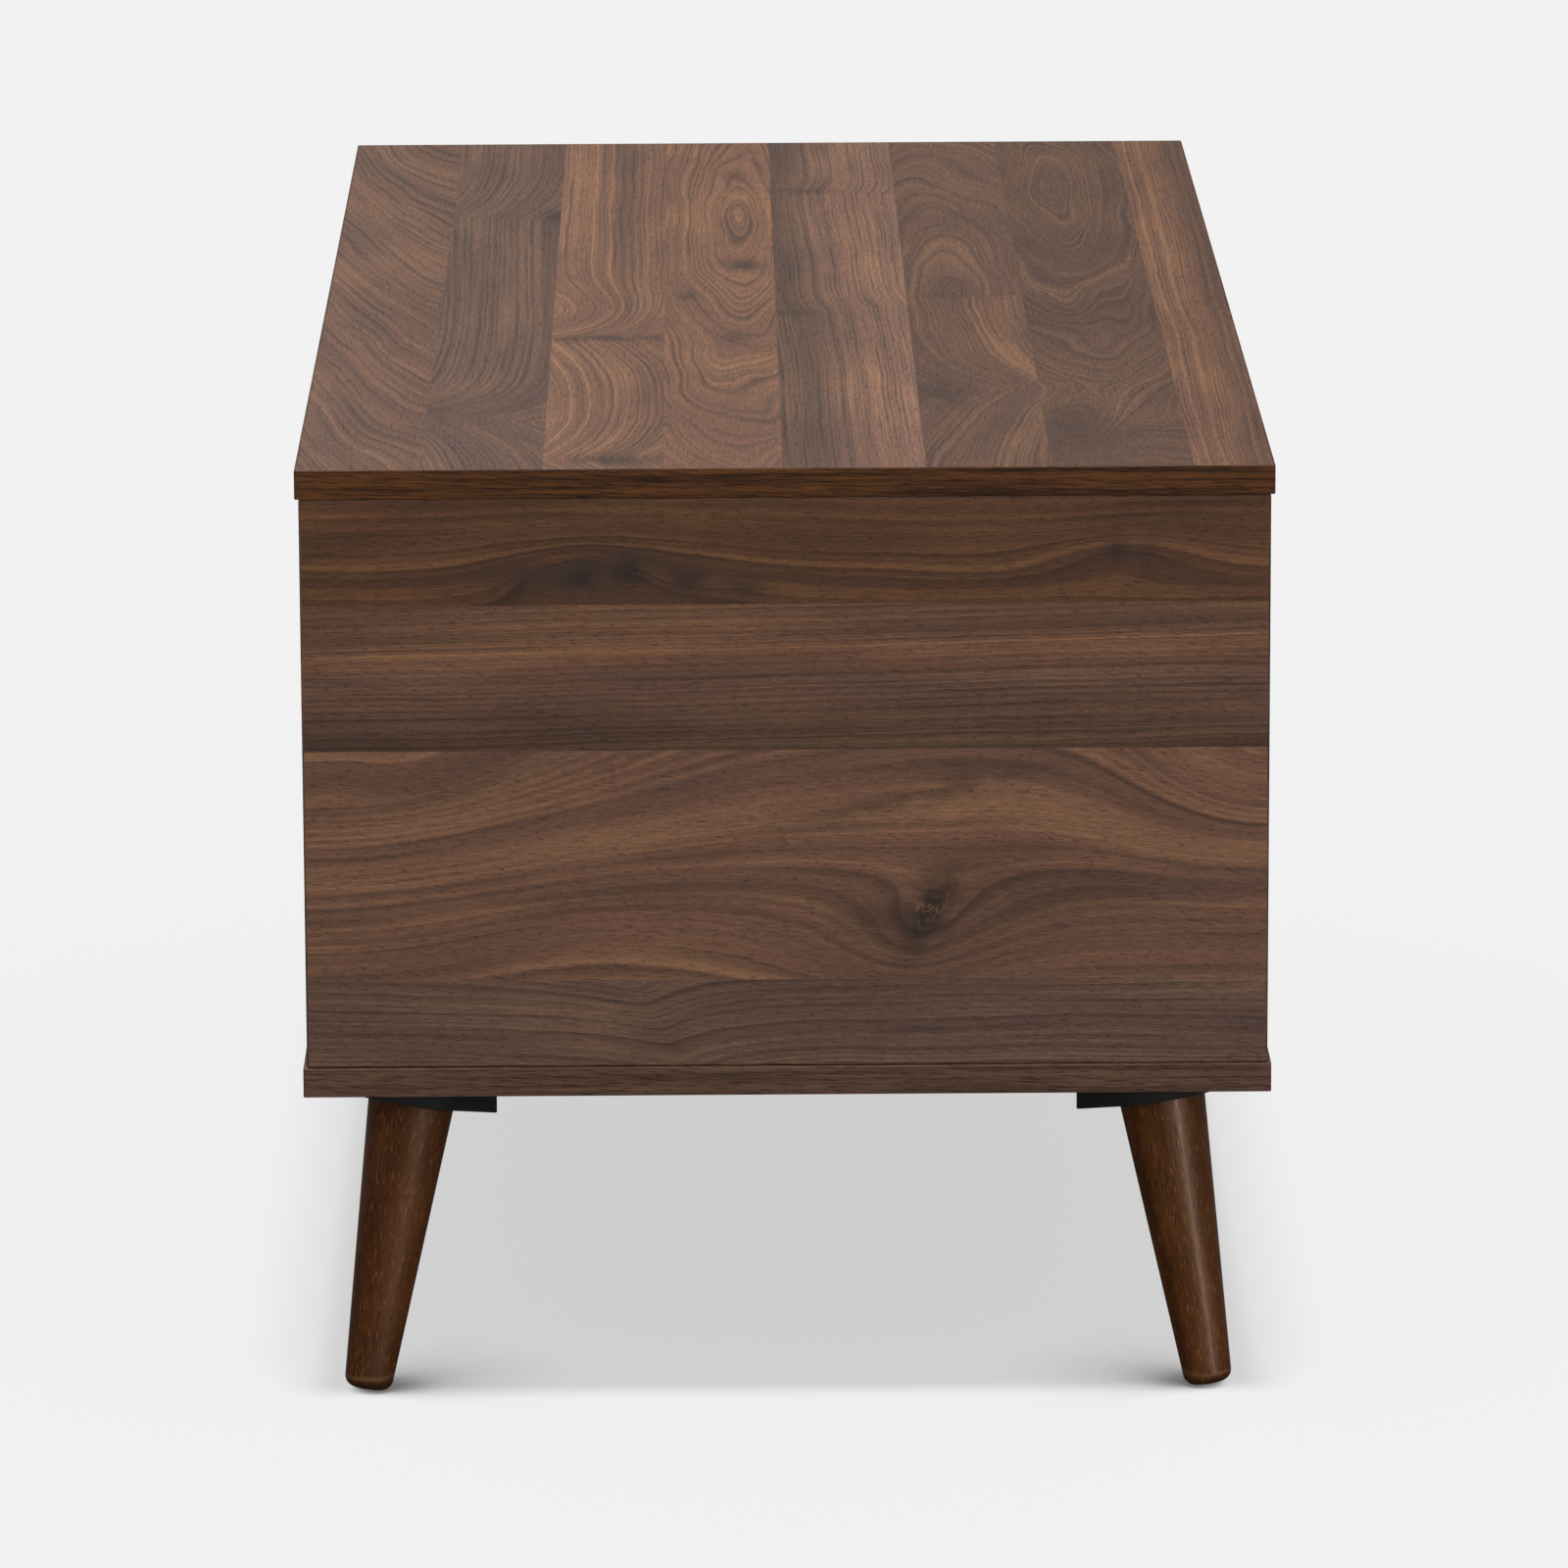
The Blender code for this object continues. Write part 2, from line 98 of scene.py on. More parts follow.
lens = bpy.data.cameras.new("long_lens")
lens.sensor_width = SENSOR_MM
lens.lens = FOCAL_PX * SENSOR_MM / IMAGE_PX
lens.clip_end = 200.0
camera = put("long_lens", lens)
turn = Matrix((to_right, to_top, -ahead)).transposed().to_4x4()
camera.matrix_world = Matrix.Translation(CAMERA_AT) @ turn
scene.camera = camera
scene.view_settings.view_transform = 'Standard'
print("lens:", round(lens.lens, 1), "mm")

# %% [markdown]
# ## Formulas made of nodes
# Wood is drawn by arithmetic on positions. Adding Math nodes one by one hides the idea, so a small class
# stands for one node output, and each sign in a formula adds the node that does it.

# %% Node helpers
class Wire:
    """One node output inside a formula. Each sign adds a Math node."""

    def __init__(self, tree, socket):
        self.tree = tree
        self.socket = socket

    def __add__(self, other):
        return maths('ADD', self, other)

    def __radd__(self, other):
        return maths('ADD', other, self)

    def __sub__(self, other):
        return maths('SUBTRACT', self, other)

    def __rsub__(self, other):
        return maths('SUBTRACT', other, self)

    def __mul__(self, other):
        return maths('MULTIPLY', self, other)

    def __rmul__(self, other):
        return maths('MULTIPLY', other, self)

    def __truediv__(self, other):
        return maths('DIVIDE', self, other)


def feed(tree, socket, value):
    """Link a wire to a socket, or write a plain value there."""
    if isinstance(value, Wire):
        tree.links.new(value.socket, socket)
    else:
        socket.default_value = value


def add_node(tree, kind, fed, out=0, **settings):
    """Add a node, set it up, feed its inputs and give one of its outputs."""
    node = tree.nodes.new(kind)
    for key, value in settings.items():
        setattr(node, key, value)
    for key, value in fed.items():
        feed(tree, node.inputs[key], value)
    return Wire(tree, node.outputs[out])


def tree_of(*values):
    """The tree that the first wire among some values belongs to."""
    return next(value.tree for value in values if isinstance(value, Wire))


def maths(operation, *values):
    """One Math node."""
    return add_node(tree_of(*values), 'ShaderNodeMath', dict(enumerate(values)), operation=operation)


def vector(*parts):
    """Up to three wires or numbers as one vector."""
    return add_node(tree_of(*parts), 'ShaderNodeCombineXYZ', dict(enumerate(parts)))


def split(wire):
    """X, Y and Z of a vector."""
    first = add_node(wire.tree, 'ShaderNodeSeparateXYZ', {0: wire})
    return [Wire(wire.tree, socket) for socket in first.socket.node.outputs]


def fade(value, low, high):
    """0 at low and 1 at high, with a soft start and end. Low may lie above high."""
    return add_node(value.tree, 'ShaderNodeMapRange', {"Value": value, "From Min": low, "From Max": high},
                    interpolation_type='SMOOTHSTEP')


def noise(*at, detail=2.0, rough=0.5):
    """Soft noise around 0.5, along one, two or three wires."""
    place = {"W": at[0]} if len(at) == 1 else {"Vector": vector(*at)}
    settings = {"Scale": 1.0, "Detail": detail, "Roughness": rough}
    return add_node(at[0].tree, 'ShaderNodeTexNoise', settings | place, noise_dimensions=f"{len(at)}D")


def blend(share, first, second, kind='MIX'):
    """Two colours mixed by a share. A plain colour is four numbers."""
    return add_node(tree_of(share, first, second), 'ShaderNodeMix', {0: share, 6: first, 7: second}, 2,
                    data_type='RGBA', blend_type=kind)


def grey(value):
    """A value as a colour, for multiplying one."""
    return add_node(value.tree, 'ShaderNodeCombineColor', dict.fromkeys(range(3), value))


def ramp(value, *colours, middle=0.5):
    """A colour ramp between two colours, or of three with the second one at a middle place."""
    made = add_node(value.tree, 'ShaderNodeValToRGB', {0: value})
    elements = made.socket.node.color_ramp.elements
    for element, colour in zip(elements, (colours[0], colours[-1])):
        element.color = (*colour, 1.0)
    if len(colours) == 3:
        elements.new(middle).color = (*colours[1], 1.0)
    return made


def new_group(name, inputs, outputs):
    """An empty shader group. It gives the tree, its input wires and its output node."""
    tree = bpy.data.node_groups.new(name, 'ShaderNodeTree')
    for label in inputs:
        tree.interface.new_socket(label, in_out='INPUT', socket_type='NodeSocketFloat')
    for label, kind in outputs:
        tree.interface.new_socket(label, in_out='OUTPUT', socket_type=kind)
    start = tree.nodes.new('NodeGroupInput')
    end = tree.nodes.new('NodeGroupOutput')
    return tree, [Wire(tree, start.outputs[label]) for label in inputs], end


def use_group(group, tree, **values):
    """Place a group in a tree, feed its inputs and give its output wires by name."""
    node = tree.nodes.new('ShaderNodeGroup')
    node.node_tree = group
    for label, value in values.items():
        feed(tree, node.inputs[label.replace("_", " ")], value)
    return {socket.name: Wire(tree, socket) for socket in node.outputs}


print("formula helpers ready")

# %% [markdown]
# ## Studio
# The floor and the background are pale and even. A wide sun overhead throws the soft shadow under the
# case, and an occlusion node paints a contact shadow near the feet by darkening the floor's glow. Light
# linking keeps the softboxes off the floor, so they light the table alone: a large one in front, one at
# each side and one behind. A low warm strip draws the highlight on the legs, and three lamps without
# sheen reach the sides that the camera doesn't see. The pale tone is seen by the camera and in
# reflections only, so it adds little light.

# %% Studio
WHITE = (1.0, 1.0, 1.0, 1.0)
PALE = 0.886
DIM = 0.25
FILL = 0.24
FLOOR_GLOW = 0.607
FLOOR_COLOUR = 0.248
FLOOR_HALF = 40.0
CASE_MIDDLE = Vector((0.0, 0.0, 0.25))


def rays(tree):
    """1 for rays from the camera or through glass, and 1 for reflections."""
    path = tree.nodes.new('ShaderNodeLightPath')
    seen, clear, shiny = [Wire(tree, path.outputs[f"Is {kind} Ray"])
                          for kind in ("Camera", "Transmission", "Glossy")]
    return maths('MINIMUM', seen + clear, 1.0), shiny


world = bpy.data.worlds.new("studio")
world.use_nodes = True
scene.world = world
tree = world.node_tree
sky = tree.nodes["Background"]
sky.inputs["Color"].default_value = WHITE
way_up = split(add_node(tree, 'ShaderNodeTexCoord', {}, "Generated"))[2]
seen, shiny = rays(tree)
ceiling = DIM + fade(way_up, 0.20, 0.75) * (PALE - DIM)
feed(tree, sky.inputs["Strength"], seen * PALE + shiny * ceiling + (1.0 - seen - shiny) * FILL)

floor_paint = bpy.data.materials.new("floor_paint")
floor_paint.use_nodes = True
tree = floor_paint.node_tree
paint = tree.nodes["Principled BSDF"]
for label, value in (("Base Color", (FLOOR_COLOUR, FLOOR_COLOUR, FLOOR_COLOUR, 1.0)), ("Roughness", 1.0),
                     ("Specular IOR Level", 0.0), ("Emission Color", WHITE)):
    paint.inputs[label].default_value = value
side = maths('TANH', split(add_node(tree, 'ShaderNodeTexCoord', {}, "Object"))[1] * 40.0)
# Painted contact shadow: the occlusion below darkens the floor's glow around the feet.
open_sky = add_node(tree, 'ShaderNodeAmbientOcclusion',
                    {"Distance": 0.10, "Normal": vector(0.50, side, 0.30)}, "AO", samples=16)
painted_contact_shadow = fade(1.0 - open_sky, 0.05, 0.42)
seen, shiny = rays(tree)
glow = seen * FLOOR_GLOW * (1.0 - painted_contact_shadow * 0.75) + shiny * 0.05
feed(tree, paint.inputs["Emission Strength"], glow)

floor_mesh = bpy.data.meshes.new("floor")
corners = [(x * FLOOR_HALF, y * FLOOR_HALF, 0) for x, y in ((-1, -1), (1, -1), (1, 1), (-1, 1))]
floor_mesh.from_pydata(corners, [], [(0, 1, 2, 3)])
floor_mesh.materials.append(floor_paint)
floor = put("floor", floor_mesh)
floor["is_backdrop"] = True


def shut_out(thing, collection):
    """Keep the light of the lamps that use this collection off one object."""
    collection.objects.link(thing)
    collection.collection_objects[-1].light_linking.link_state = 'EXCLUDE'


flagged = bpy.data.collections.new("flagged")
shut_out(floor, flagged)
case_only = bpy.data.collections.new("case_only")
shut_out(floor, case_only)


def softbox(name, place, width, height, watts, receivers):
    """A rectangular lamp that looks at the middle of the case and isn't seen by the camera."""
    lamp = bpy.data.lights.new(name, 'AREA')
    lamp.shape = 'RECTANGLE'
    lamp.size, lamp.size_y, lamp.energy = width, height, watts
    holder = put(name, lamp)
    holder.location = place
    holder.rotation_euler = (CASE_MIDDLE - Vector(place)).to_track_quat('-Z', 'Y').to_euler()
    holder.visible_camera = False
    holder.light_linking.receiver_collection = receivers
    return holder


sun = bpy.data.lights.new("overhead", 'SUN')
sun.energy = 2.8
sun.angle = math.radians(9.5)
put("overhead", sun).rotation_euler = (0.0, math.radians(8.0), 0.0)
glossed = bpy.data.collections.new("glossed")
softbox("right_box", (2.6, 2.0, 1.3), 0.6, 2.0, 34.0, flagged)
shine = softbox("shine", (2.6, 1.7, 0.45), 0.3, 0.9, 190.0, glossed)
shine.data.color = (1.0, 0.74, 0.56)
shine.visible_diffuse = False
softbox("left_box", (1.9, -2.8, 1.2), 0.6, 2.0, 9.0, flagged)
softbox("rear_box", (-3.0, -1.6, 1.8), 1.6, 1.6, 22.0, flagged)
softbox("front_box", (5.6, 0.3, 2.2), 6.0, 4.0, 172.0, flagged)
for name, place in (("drawer_side_box", (-0.6, -3.0, 0.5)), ("back_side_box", (-0.6, 3.0, 0.5)),
                    ("far_end_box", (-3.4, 0.0, 0.4))):
    softbox(name, place, 2.4, 0.6, 18.0, case_only).visible_glossy = False

# %% [markdown]
# ## Walnut grain
# The boards carry a printed walnut laminate. In such wood every line is an edge of a growth ring, so one
# number, the distance across the rings, decides the colour. Warping that distance bends all lines
# together. An image would be quicker, but a formula stays sharp at any size. Three groups bend the
# lines: a knot pushes them aside, a fold draws them across the plank, and an arch closes them into loops.

# %% Bending the lines
knot_group, (u, v, at_u, at_v, long, wide, lift, part, shear), end = new_group(
    "knot", ("U", "V", "At U", "At V", "Long", "Wide", "Lift", "Part", "Shear"),
    (("Shift", 'NodeSocketFloat'), ("Halo", 'NodeSocketFloat'), ("Away", 'NodeSocketFloat')))
dv = v - at_v
du = (u - at_u - shear * dv) / long
away = du * du + dv * dv / (wide * wide)
hump = maths('EXPONENT', away * -1.0)
feed(knot_group, end.inputs["Shift"], hump * (lift - part * dv))
feed(knot_group, end.inputs["Halo"], hump)
feed(knot_group, end.inputs["Away"], away)

fold_group, (u, v, at_u, at_v, before, after, rise, tilt), end = new_group(
    "fold", ("U", "V", "At U", "At V", "Before", "After", "Rise", "Tilt"), (("Shift", 'NodeSocketFloat'),))
du = u - at_u + tilt * (v - at_v)
away = maths('SQRT', du * du + 0.000016) - 0.004
reach = before + (after - before) * maths('GREATER_THAN', du, 0.0)
feed(fold_group, end.inputs["Shift"], maths('EXPONENT', away / reach * -1.0) * rise)

arch_group, (u, v, at_u, at_v, slim), end = new_group(
    "arch", ("U", "V", "At U", "At V", "Slim"), (("Shift", 'NodeSocketFloat'),))
dv = v - at_v
du = (u - at_u) / slim
feed(arch_group, end.inputs["Shift"], (maths('SQRT', du * du + dv * dv) + dv) * -1.0)
print("line groups:", knot_group.name, fold_group.name, arch_group.name)

# %% [markdown]
# The next group turns the warped distance into wood: broad light and dark bands, a thin dark line at the end
# of each ring, short dark pores, and fine fibres between them. The pores are also a little duller.

# %% Grain group
grain_group, (u, v, across, seed, ring, tone, warmth, ink, fleck), end = new_group(
    "walnut_grain", ("U", "V", "Across", "Seed", "Ring", "Tone", "Warmth", "Ink", "Fleck"),
    (("Color", 'NodeSocketColor'), ("Height", 'NodeSocketFloat'), ("Roughness", 'NodeSocketFloat')))
rings = across / ring + seed * 7.3
broad = noise(rings * 0.12, detail=1.0)
band = noise(rings * 0.55 + 11.0)
fine = noise(rings * 2.4 + 23.0, detail=3.0, rough=0.6)
drift = noise(u * 6.0 + seed, across * 30.0, detail=3.0)
wood = ramp(fade(broad * 0.3 + band * 0.7 + fine * 0.8 + drift * 0.7 - 0.75, 0.0, 1.0),
            (0.061, 0.0322, 0.0222), (0.086, 0.0418, 0.0257), (0.142, 0.0715, 0.0380))
count = rings + band * 1.6
phase = maths('FRACT', count)
late = fade(phase, 0.25, 0.88) * fade(phase, 1.0, 0.90)
strength = noise(maths('FLOOR', count) * 3.7 + seed, u * 7.0, detail=1.0)
line = late * (0.15 + fade(strength, 0.30, 0.70) * 0.85)
along = v + (across - v) * 0.2
fibre = noise(u * fleck + v * 310.0, along * 900.0, v * 270.0, detail=3.0, rough=0.7)
dash = noise(u * fleck * 2.0 + v * 530.0, v * 1000.0, v * 410.0, rough=0.6)
pore = fade(dash, 0.55, 0.68)
shade = (1.0 - pore * 0.42) * (0.42 + fibre * 1.12) * tone
WARM_TINT = (0.07, -0.02, -0.16)
INK_TINT = (1.07, 0.96, 0.86)
tint = [(1.0 + warmth * warm) * (1.08 - line * ink * dark) for warm, dark in zip(WARM_TINT, INK_TINT)]
tint = add_node(grain_group, 'ShaderNodeCombineColor', dict(enumerate(tint)))
wood = blend(1.0, wood, tint, 'MULTIPLY')
feed(grain_group, end.inputs["Color"], blend(1.0, wood, grey(shade), 'MULTIPLY'))
feed(grain_group, end.inputs["Height"], noise(u * 60.0, v * 1100.0))
feed(grain_group, end.inputs["Roughness"], 0.50 + pore * 0.12 + fibre * 0.08)
print("grain nodes:", len(grain_group.nodes))

# %% [markdown]
# ## Plank laminates
# A laminate sheet is printed as several planks side by side. Each plank row below gives the edge where it
# starts, its tone at both edges, its warmth, its ring spacing, how its lines lean, bow and swirl, and the
# number of its pattern. Knots, folds, arches and stripes belong to one plank each. A knot row says how far
# it darkens the wood, and a number below zero makes a calm zone with weaker lines instead. Boards that show
# little get rows from a seeded generator.

# %% Laminate maker
STRIPE_FADE = 0.06
HALO_COLOUR = (0.030, 0.0180, 0.0140, 1.0)
HEART_COLOUR = (0.014, 0.0085, 0.0075, 1.0)


def new_material(name, specular=0.5):
    """A material with an empty Principled shader, and its tree."""
    material = bpy.data.materials.new(name)
    material.use_nodes = True
    shader = material.node_tree.nodes["Principled BSDF"]
    shader.inputs["Specular IOR Level"].default_value = specular
    return material, material.node_tree, shader


def place_in(tree):
    """X, Y and Z of the piece's own coordinates, by letter."""
    return dict(zip("xyz", split(add_node(tree, 'ShaderNodeTexCoord', {}, "Object"))))


def dress(tree, shader, colour, roughness, height, depth):
    """Feed a shader its colour, its roughness and a bump that is so many metres deep."""
    bump = add_node(tree, 'ShaderNodeBump', {"Strength": 1.0, "Distance": depth, "Height": height})
    for label, value in (("Base Color", colour), ("Roughness", roughness), ("Normal", bump)):
        feed(tree, shader.inputs[label], value)


def pick(masks, values):
    """The value of the plank that a point lies in."""
    total = masks[0] * values[0]
    for mask, value in zip(masks[1:], values[1:]):
        total = maths('MULTIPLY_ADD', mask, value, total)
    return total


def laminate(name, along, over, planks, last_edge, knots=(), folds=(), arches=(), stripes=(),
             seed=0.0, specular=0.15, ink=0.40, ripple=0.0016, fleck=100.0):
    material, tree, shader = new_material(name, specular)
    at = place_in(tree)
    u, v = at[along], at[over]
    edges, near, far, *kinds, numbers = zip(*planks)
    past = [maths('GREATER_THAN', v, edge) for edge in edges[1:]]
    masks = [1.0 - past[0]] + [a - b for a, b in zip(past, past[1:])] + [past[-1]]
    widths = [b - a for a, b in zip(edges, edges[1:] + (last_edge,))]
    slopes = [(b - a) / width for a, b, width in zip(near, far, widths)]
    inside = v - pick(masks, edges)
    tone = pick(masks, near) + inside * pick(masks, slopes)
    warmth, ring, lean, bow, swirl = [pick(masks, values) for values in kinds]
    own_seed = pick(masks, [seed + 1.7 * number for number in numbers])
    waves = noise(u * 5.0 + own_seed * 9.0, v * 20.0, detail=1.0) - 0.5
    shake = noise(u * 26.0, v * 60.0 + own_seed) - 0.5
    shift = lean * u + bow * inside * inside + swirl * waves * 2.0 + shake * ripple
    halo, core = 0.0, 0.0
    for plank, at_u, at_v, long, wide, lift, part, shear, dark, heart in knots:
        made = use_group(knot_group, tree, U=u, V=v, At_U=at_u, At_V=at_v, Long=long, Wide=wide,
                         Lift=lift, Part=part, Shear=shear)
        shift = maths('MULTIPLY_ADD', made["Shift"], masks[plank], shift)
        if dark:
            halo = made["Halo"] * masks[plank] * dark + halo
        if heart:
            turn = maths('ARCTAN2', v - at_v, u - at_u)
            outward = maths('SQRT', made["Away"]) * 7.0 + at_u * 50.0
            strokes = noise(outward, turn * 1.3, detail=3.0, rough=0.6)
            spot = maths('EXPONENT', made["Away"] * -2.0) * fade(strokes, 0.68, 0.42)
            core = spot * masks[plank] * heart + core
    for plank, at_u, at_v, before, after, rise, tilt in folds:
        made = use_group(fold_group, tree, U=u, V=v, At_U=at_u, At_V=at_v, Before=before, After=after,
                         Rise=rise, Tilt=tilt)
        shift = maths('MULTIPLY_ADD', made["Shift"], masks[plank], shift)
    for plank, at_u, at_v, slim, stop in arches:
        made = use_group(arch_group, tree, U=u, V=v, At_U=at_u, At_V=at_v, Slim=slim)
        shift = maths('MULTIPLY_ADD', made["Shift"], masks[plank] * maths('LESS_THAN', u, stop), shift)
    across = v + shift
    for plank, at_s, wide, low, high, lift in stripes:
        apart = (across - at_s) / wide
        lit = maths('EXPONENT', apart * apart * -1.0) * fade(u, low - STRIPE_FADE, low + STRIPE_FADE)
        lit = lit * fade(u, high + STRIPE_FADE, high - STRIPE_FADE) * masks[plank]
        tone = tone * (1.0 + lit * lift)
        warmth = warmth + lit * lift * 1.4
    grain = use_group(grain_group, tree, U=u, V=v, Across=across, Seed=own_seed, Ring=ring,
                      Tone=tone, Warmth=warmth, Ink=halo * 0.3 + ink, Fleck=fleck)
    colour = grain["Color"]
    if isinstance(halo, Wire):
        patchy = halo * fade(noise(u * 36.0, v * 90.0, detail=3.0), 0.20, 0.56)
        colour = blend(maths('MINIMUM', patchy, 0.8), colour, HALO_COLOUR)
        colour = blend(maths('MINIMUM', core, 0.9), colour, HEART_COLOUR)
    dress(tree, shader, colour, grain["Roughness"], grain["Height"], 0.00006)
    return material


def random_planks(seed, low, high, narrow, broad):
    """Plank rows with seeded tones and widths, for boards that show little."""
    chance = random.Random(seed)
    rows = []
    edge = low
    while edge < high - narrow * 0.5:
        tone = chance.uniform(0.82, 1.15)
        rows.append((edge, tone, tone * chance.uniform(0.9, 1.1), chance.uniform(-0.4, 0.5),
                     chance.uniform(0.0045, 0.007), chance.uniform(-0.04, 0.04), 0.0,
                     chance.uniform(0.006, 0.016), len(rows)))
        edge += chance.uniform(narrow, broad)
    return rows


def random_knots(seed, planks, low, high, last_edge, count):
    """Seeded ring bumps, one in every few planks."""
    chance = random.Random(seed)
    edges = [row[0] for row in planks] + [last_edge]
    made = []
    for _ in range(count):
        plank = chance.randrange(len(planks))
        made.append((plank, chance.uniform(low, high), chance.uniform(edges[plank], edges[plank + 1]),
                     chance.uniform(0.04, 0.12), chance.uniform(0.014, 0.026),
                     chance.uniform(-0.03, 0.03), 0.0, 0.0, 0.0, 0.0))
    return made


print("laminate maker ready")

# %% [markdown]
# The top shows eight planks, which run along the table. The end panel shows four, which run across it, and
# one of them takes two rows, because its tone turns halfway. Their knots, folds, arches and stripes are
# listed one row each.

# %% Top and end panel laminates
TOP_PLANKS = (
    (-0.25, 1.32, 1.17, 0.1, 0.0044, -0.18, -5, 0.006, 0),
    (-0.186, 1.16, 1.1, -0.6, 0.0032, -0.01, 0, 0.003, 1),
    (-0.1235, 1.72, 1.4, 0.3, 0.003, 0, 0, 0.003, 2),
    (-0.062, 1.52, 1.62, 0.5, 0.0024, 0, 0, 0.008, 3),
    (-0.001, 0.95, 1.88, -0.4, 0.0024, -0.012, 0, 0.003, 4),
    (0.072, 1.01, 1.1, 0, 0.0022, 0, 0, 0.01, 5),
    (0.1365, 0.84, 0.86, 0, 0.0022, 0, 0, 0.012, 6),
    (0.2088, 1.46, 1.13, 0.7, 0.0022, 0, 0, 0.003, 7))
TOP_KNOTS = (
    (1, -0.245, -0.122, 0.022, 0.016, 0, 0, 0, 0.85, 0.3),
    (1, 0.346, -0.187, 0.03, 0.014, 0, 0, 0, 0.5, 0),
    (2, 0.06, -0.124, 0.065, 0.04, -0.03, 0, 0, 0, 0),
    (2, 0.138, -0.095, 0.01, 0.04, 0, 0, 0, 0.75, 0),
    (2, 0.476, -0.09, 0.016, 0.022, 0, 0, 0, 0.8, 0.3),
    (3, -0.081, -0.018, 0.018, 0.01, 0, 0, 0, 1, 0),
    (3, 0.011, -0.049, 0.012, 0.005, 0, 0, 0, 0.7, 0),
    (3, 0.139, -0.024, 0.02, 0.008, 0, 0, 0, 0.6, 0),
    (4, -0.329, 0.014, 0.01, 0.02, 0, 0, 0, 0.6, 0),
    (4, 0.066, 0.008, 0.012, 0.016, 0, 0, 0, 0.6, 0),
    (5, 0.017, 0.1, 0.01, 0.03, 0, 0, 0, 0.5, 0),
    (5, 0.299, 0.085, 0.045, 0.018, 0, 0, 0, 0.75, 0),
    (6, -0.003, 0.165, 0.018, 0.01, 0, 0, 0, 0.7, 0.3),
    (6, 0.385, 0.15, 0.06, 0.022, 0.026, 0, 0, 0.5, 0),
    (6, -0.26, 0.198, 0.2, 0.006, 0, 0, 0, 0.5, 0),
    (5, -0.25, 0.104, 0.24, 0.06, 0, 0, 0, -0.7, 0),
    (6, -0.15, 0.17, 0.4, 0.06, 0, 0, 0, -0.7, 0))
TOP_FOLDS = (
    (1, -0.236, -0.15, 0.07, 5, 0.028, -0.2),
    (1, 0.358, -0.165, 0.055, 0.06, 0.05, -0.5),
    (2, 0.138, -0.095, 0.035, 0.085, 0.036, 0),
    (2, 0.47, -0.095, 0.06, 0.05, 0.03, 0),
    (4, -0.329, 0.03, 0.02, 5, 0.006, -0.5),
    (4, 0.06, 0.03, 0.025, 5, -0.007, 0.5),
    (5, 0.293, 0.136, 0.07, 0.08, -0.045, 0))
TOP_ARCHES = (
    (3, -0.256, -0.02, 11, 1),
    (5, 0.017, 0.098, 8, 0.017),
    (6, -0.353, 0.166, 8, 1))
TOP_STRIPES = (
    (2, -0.083, 0.006, -0.5, -0.02, -0.25),
    (4, 0.045, 0.006, -0.5, 0.5, 0.28),
    (4, 0.062, 0.004, -0.5, 0.5, 0.2),
    (4, 0.031, 0.003, -0.5, 0.5, 0.16),
    (4, 0.012, 0.01, -0.5, 0.5, -0.12),
    (5, 0.127, 0.007, -0.5, 0.02, 0.4),
    (5, 0.115, 0.014, 0.02, 0.32, 0.35),
    (6, 0.186, 0.006, -0.5, 0.02, 0.35),
    (7, 0.246, 0.007, -0.5, 0.5, -0.22))
top_walnut = laminate("top_walnut", "x", "y", TOP_PLANKS, 0.25, TOP_KNOTS, TOP_FOLDS, TOP_ARCHES,
                      TOP_STRIPES, seed=2.0, ink=0.52, ripple=0.0014, fleck=60.0)

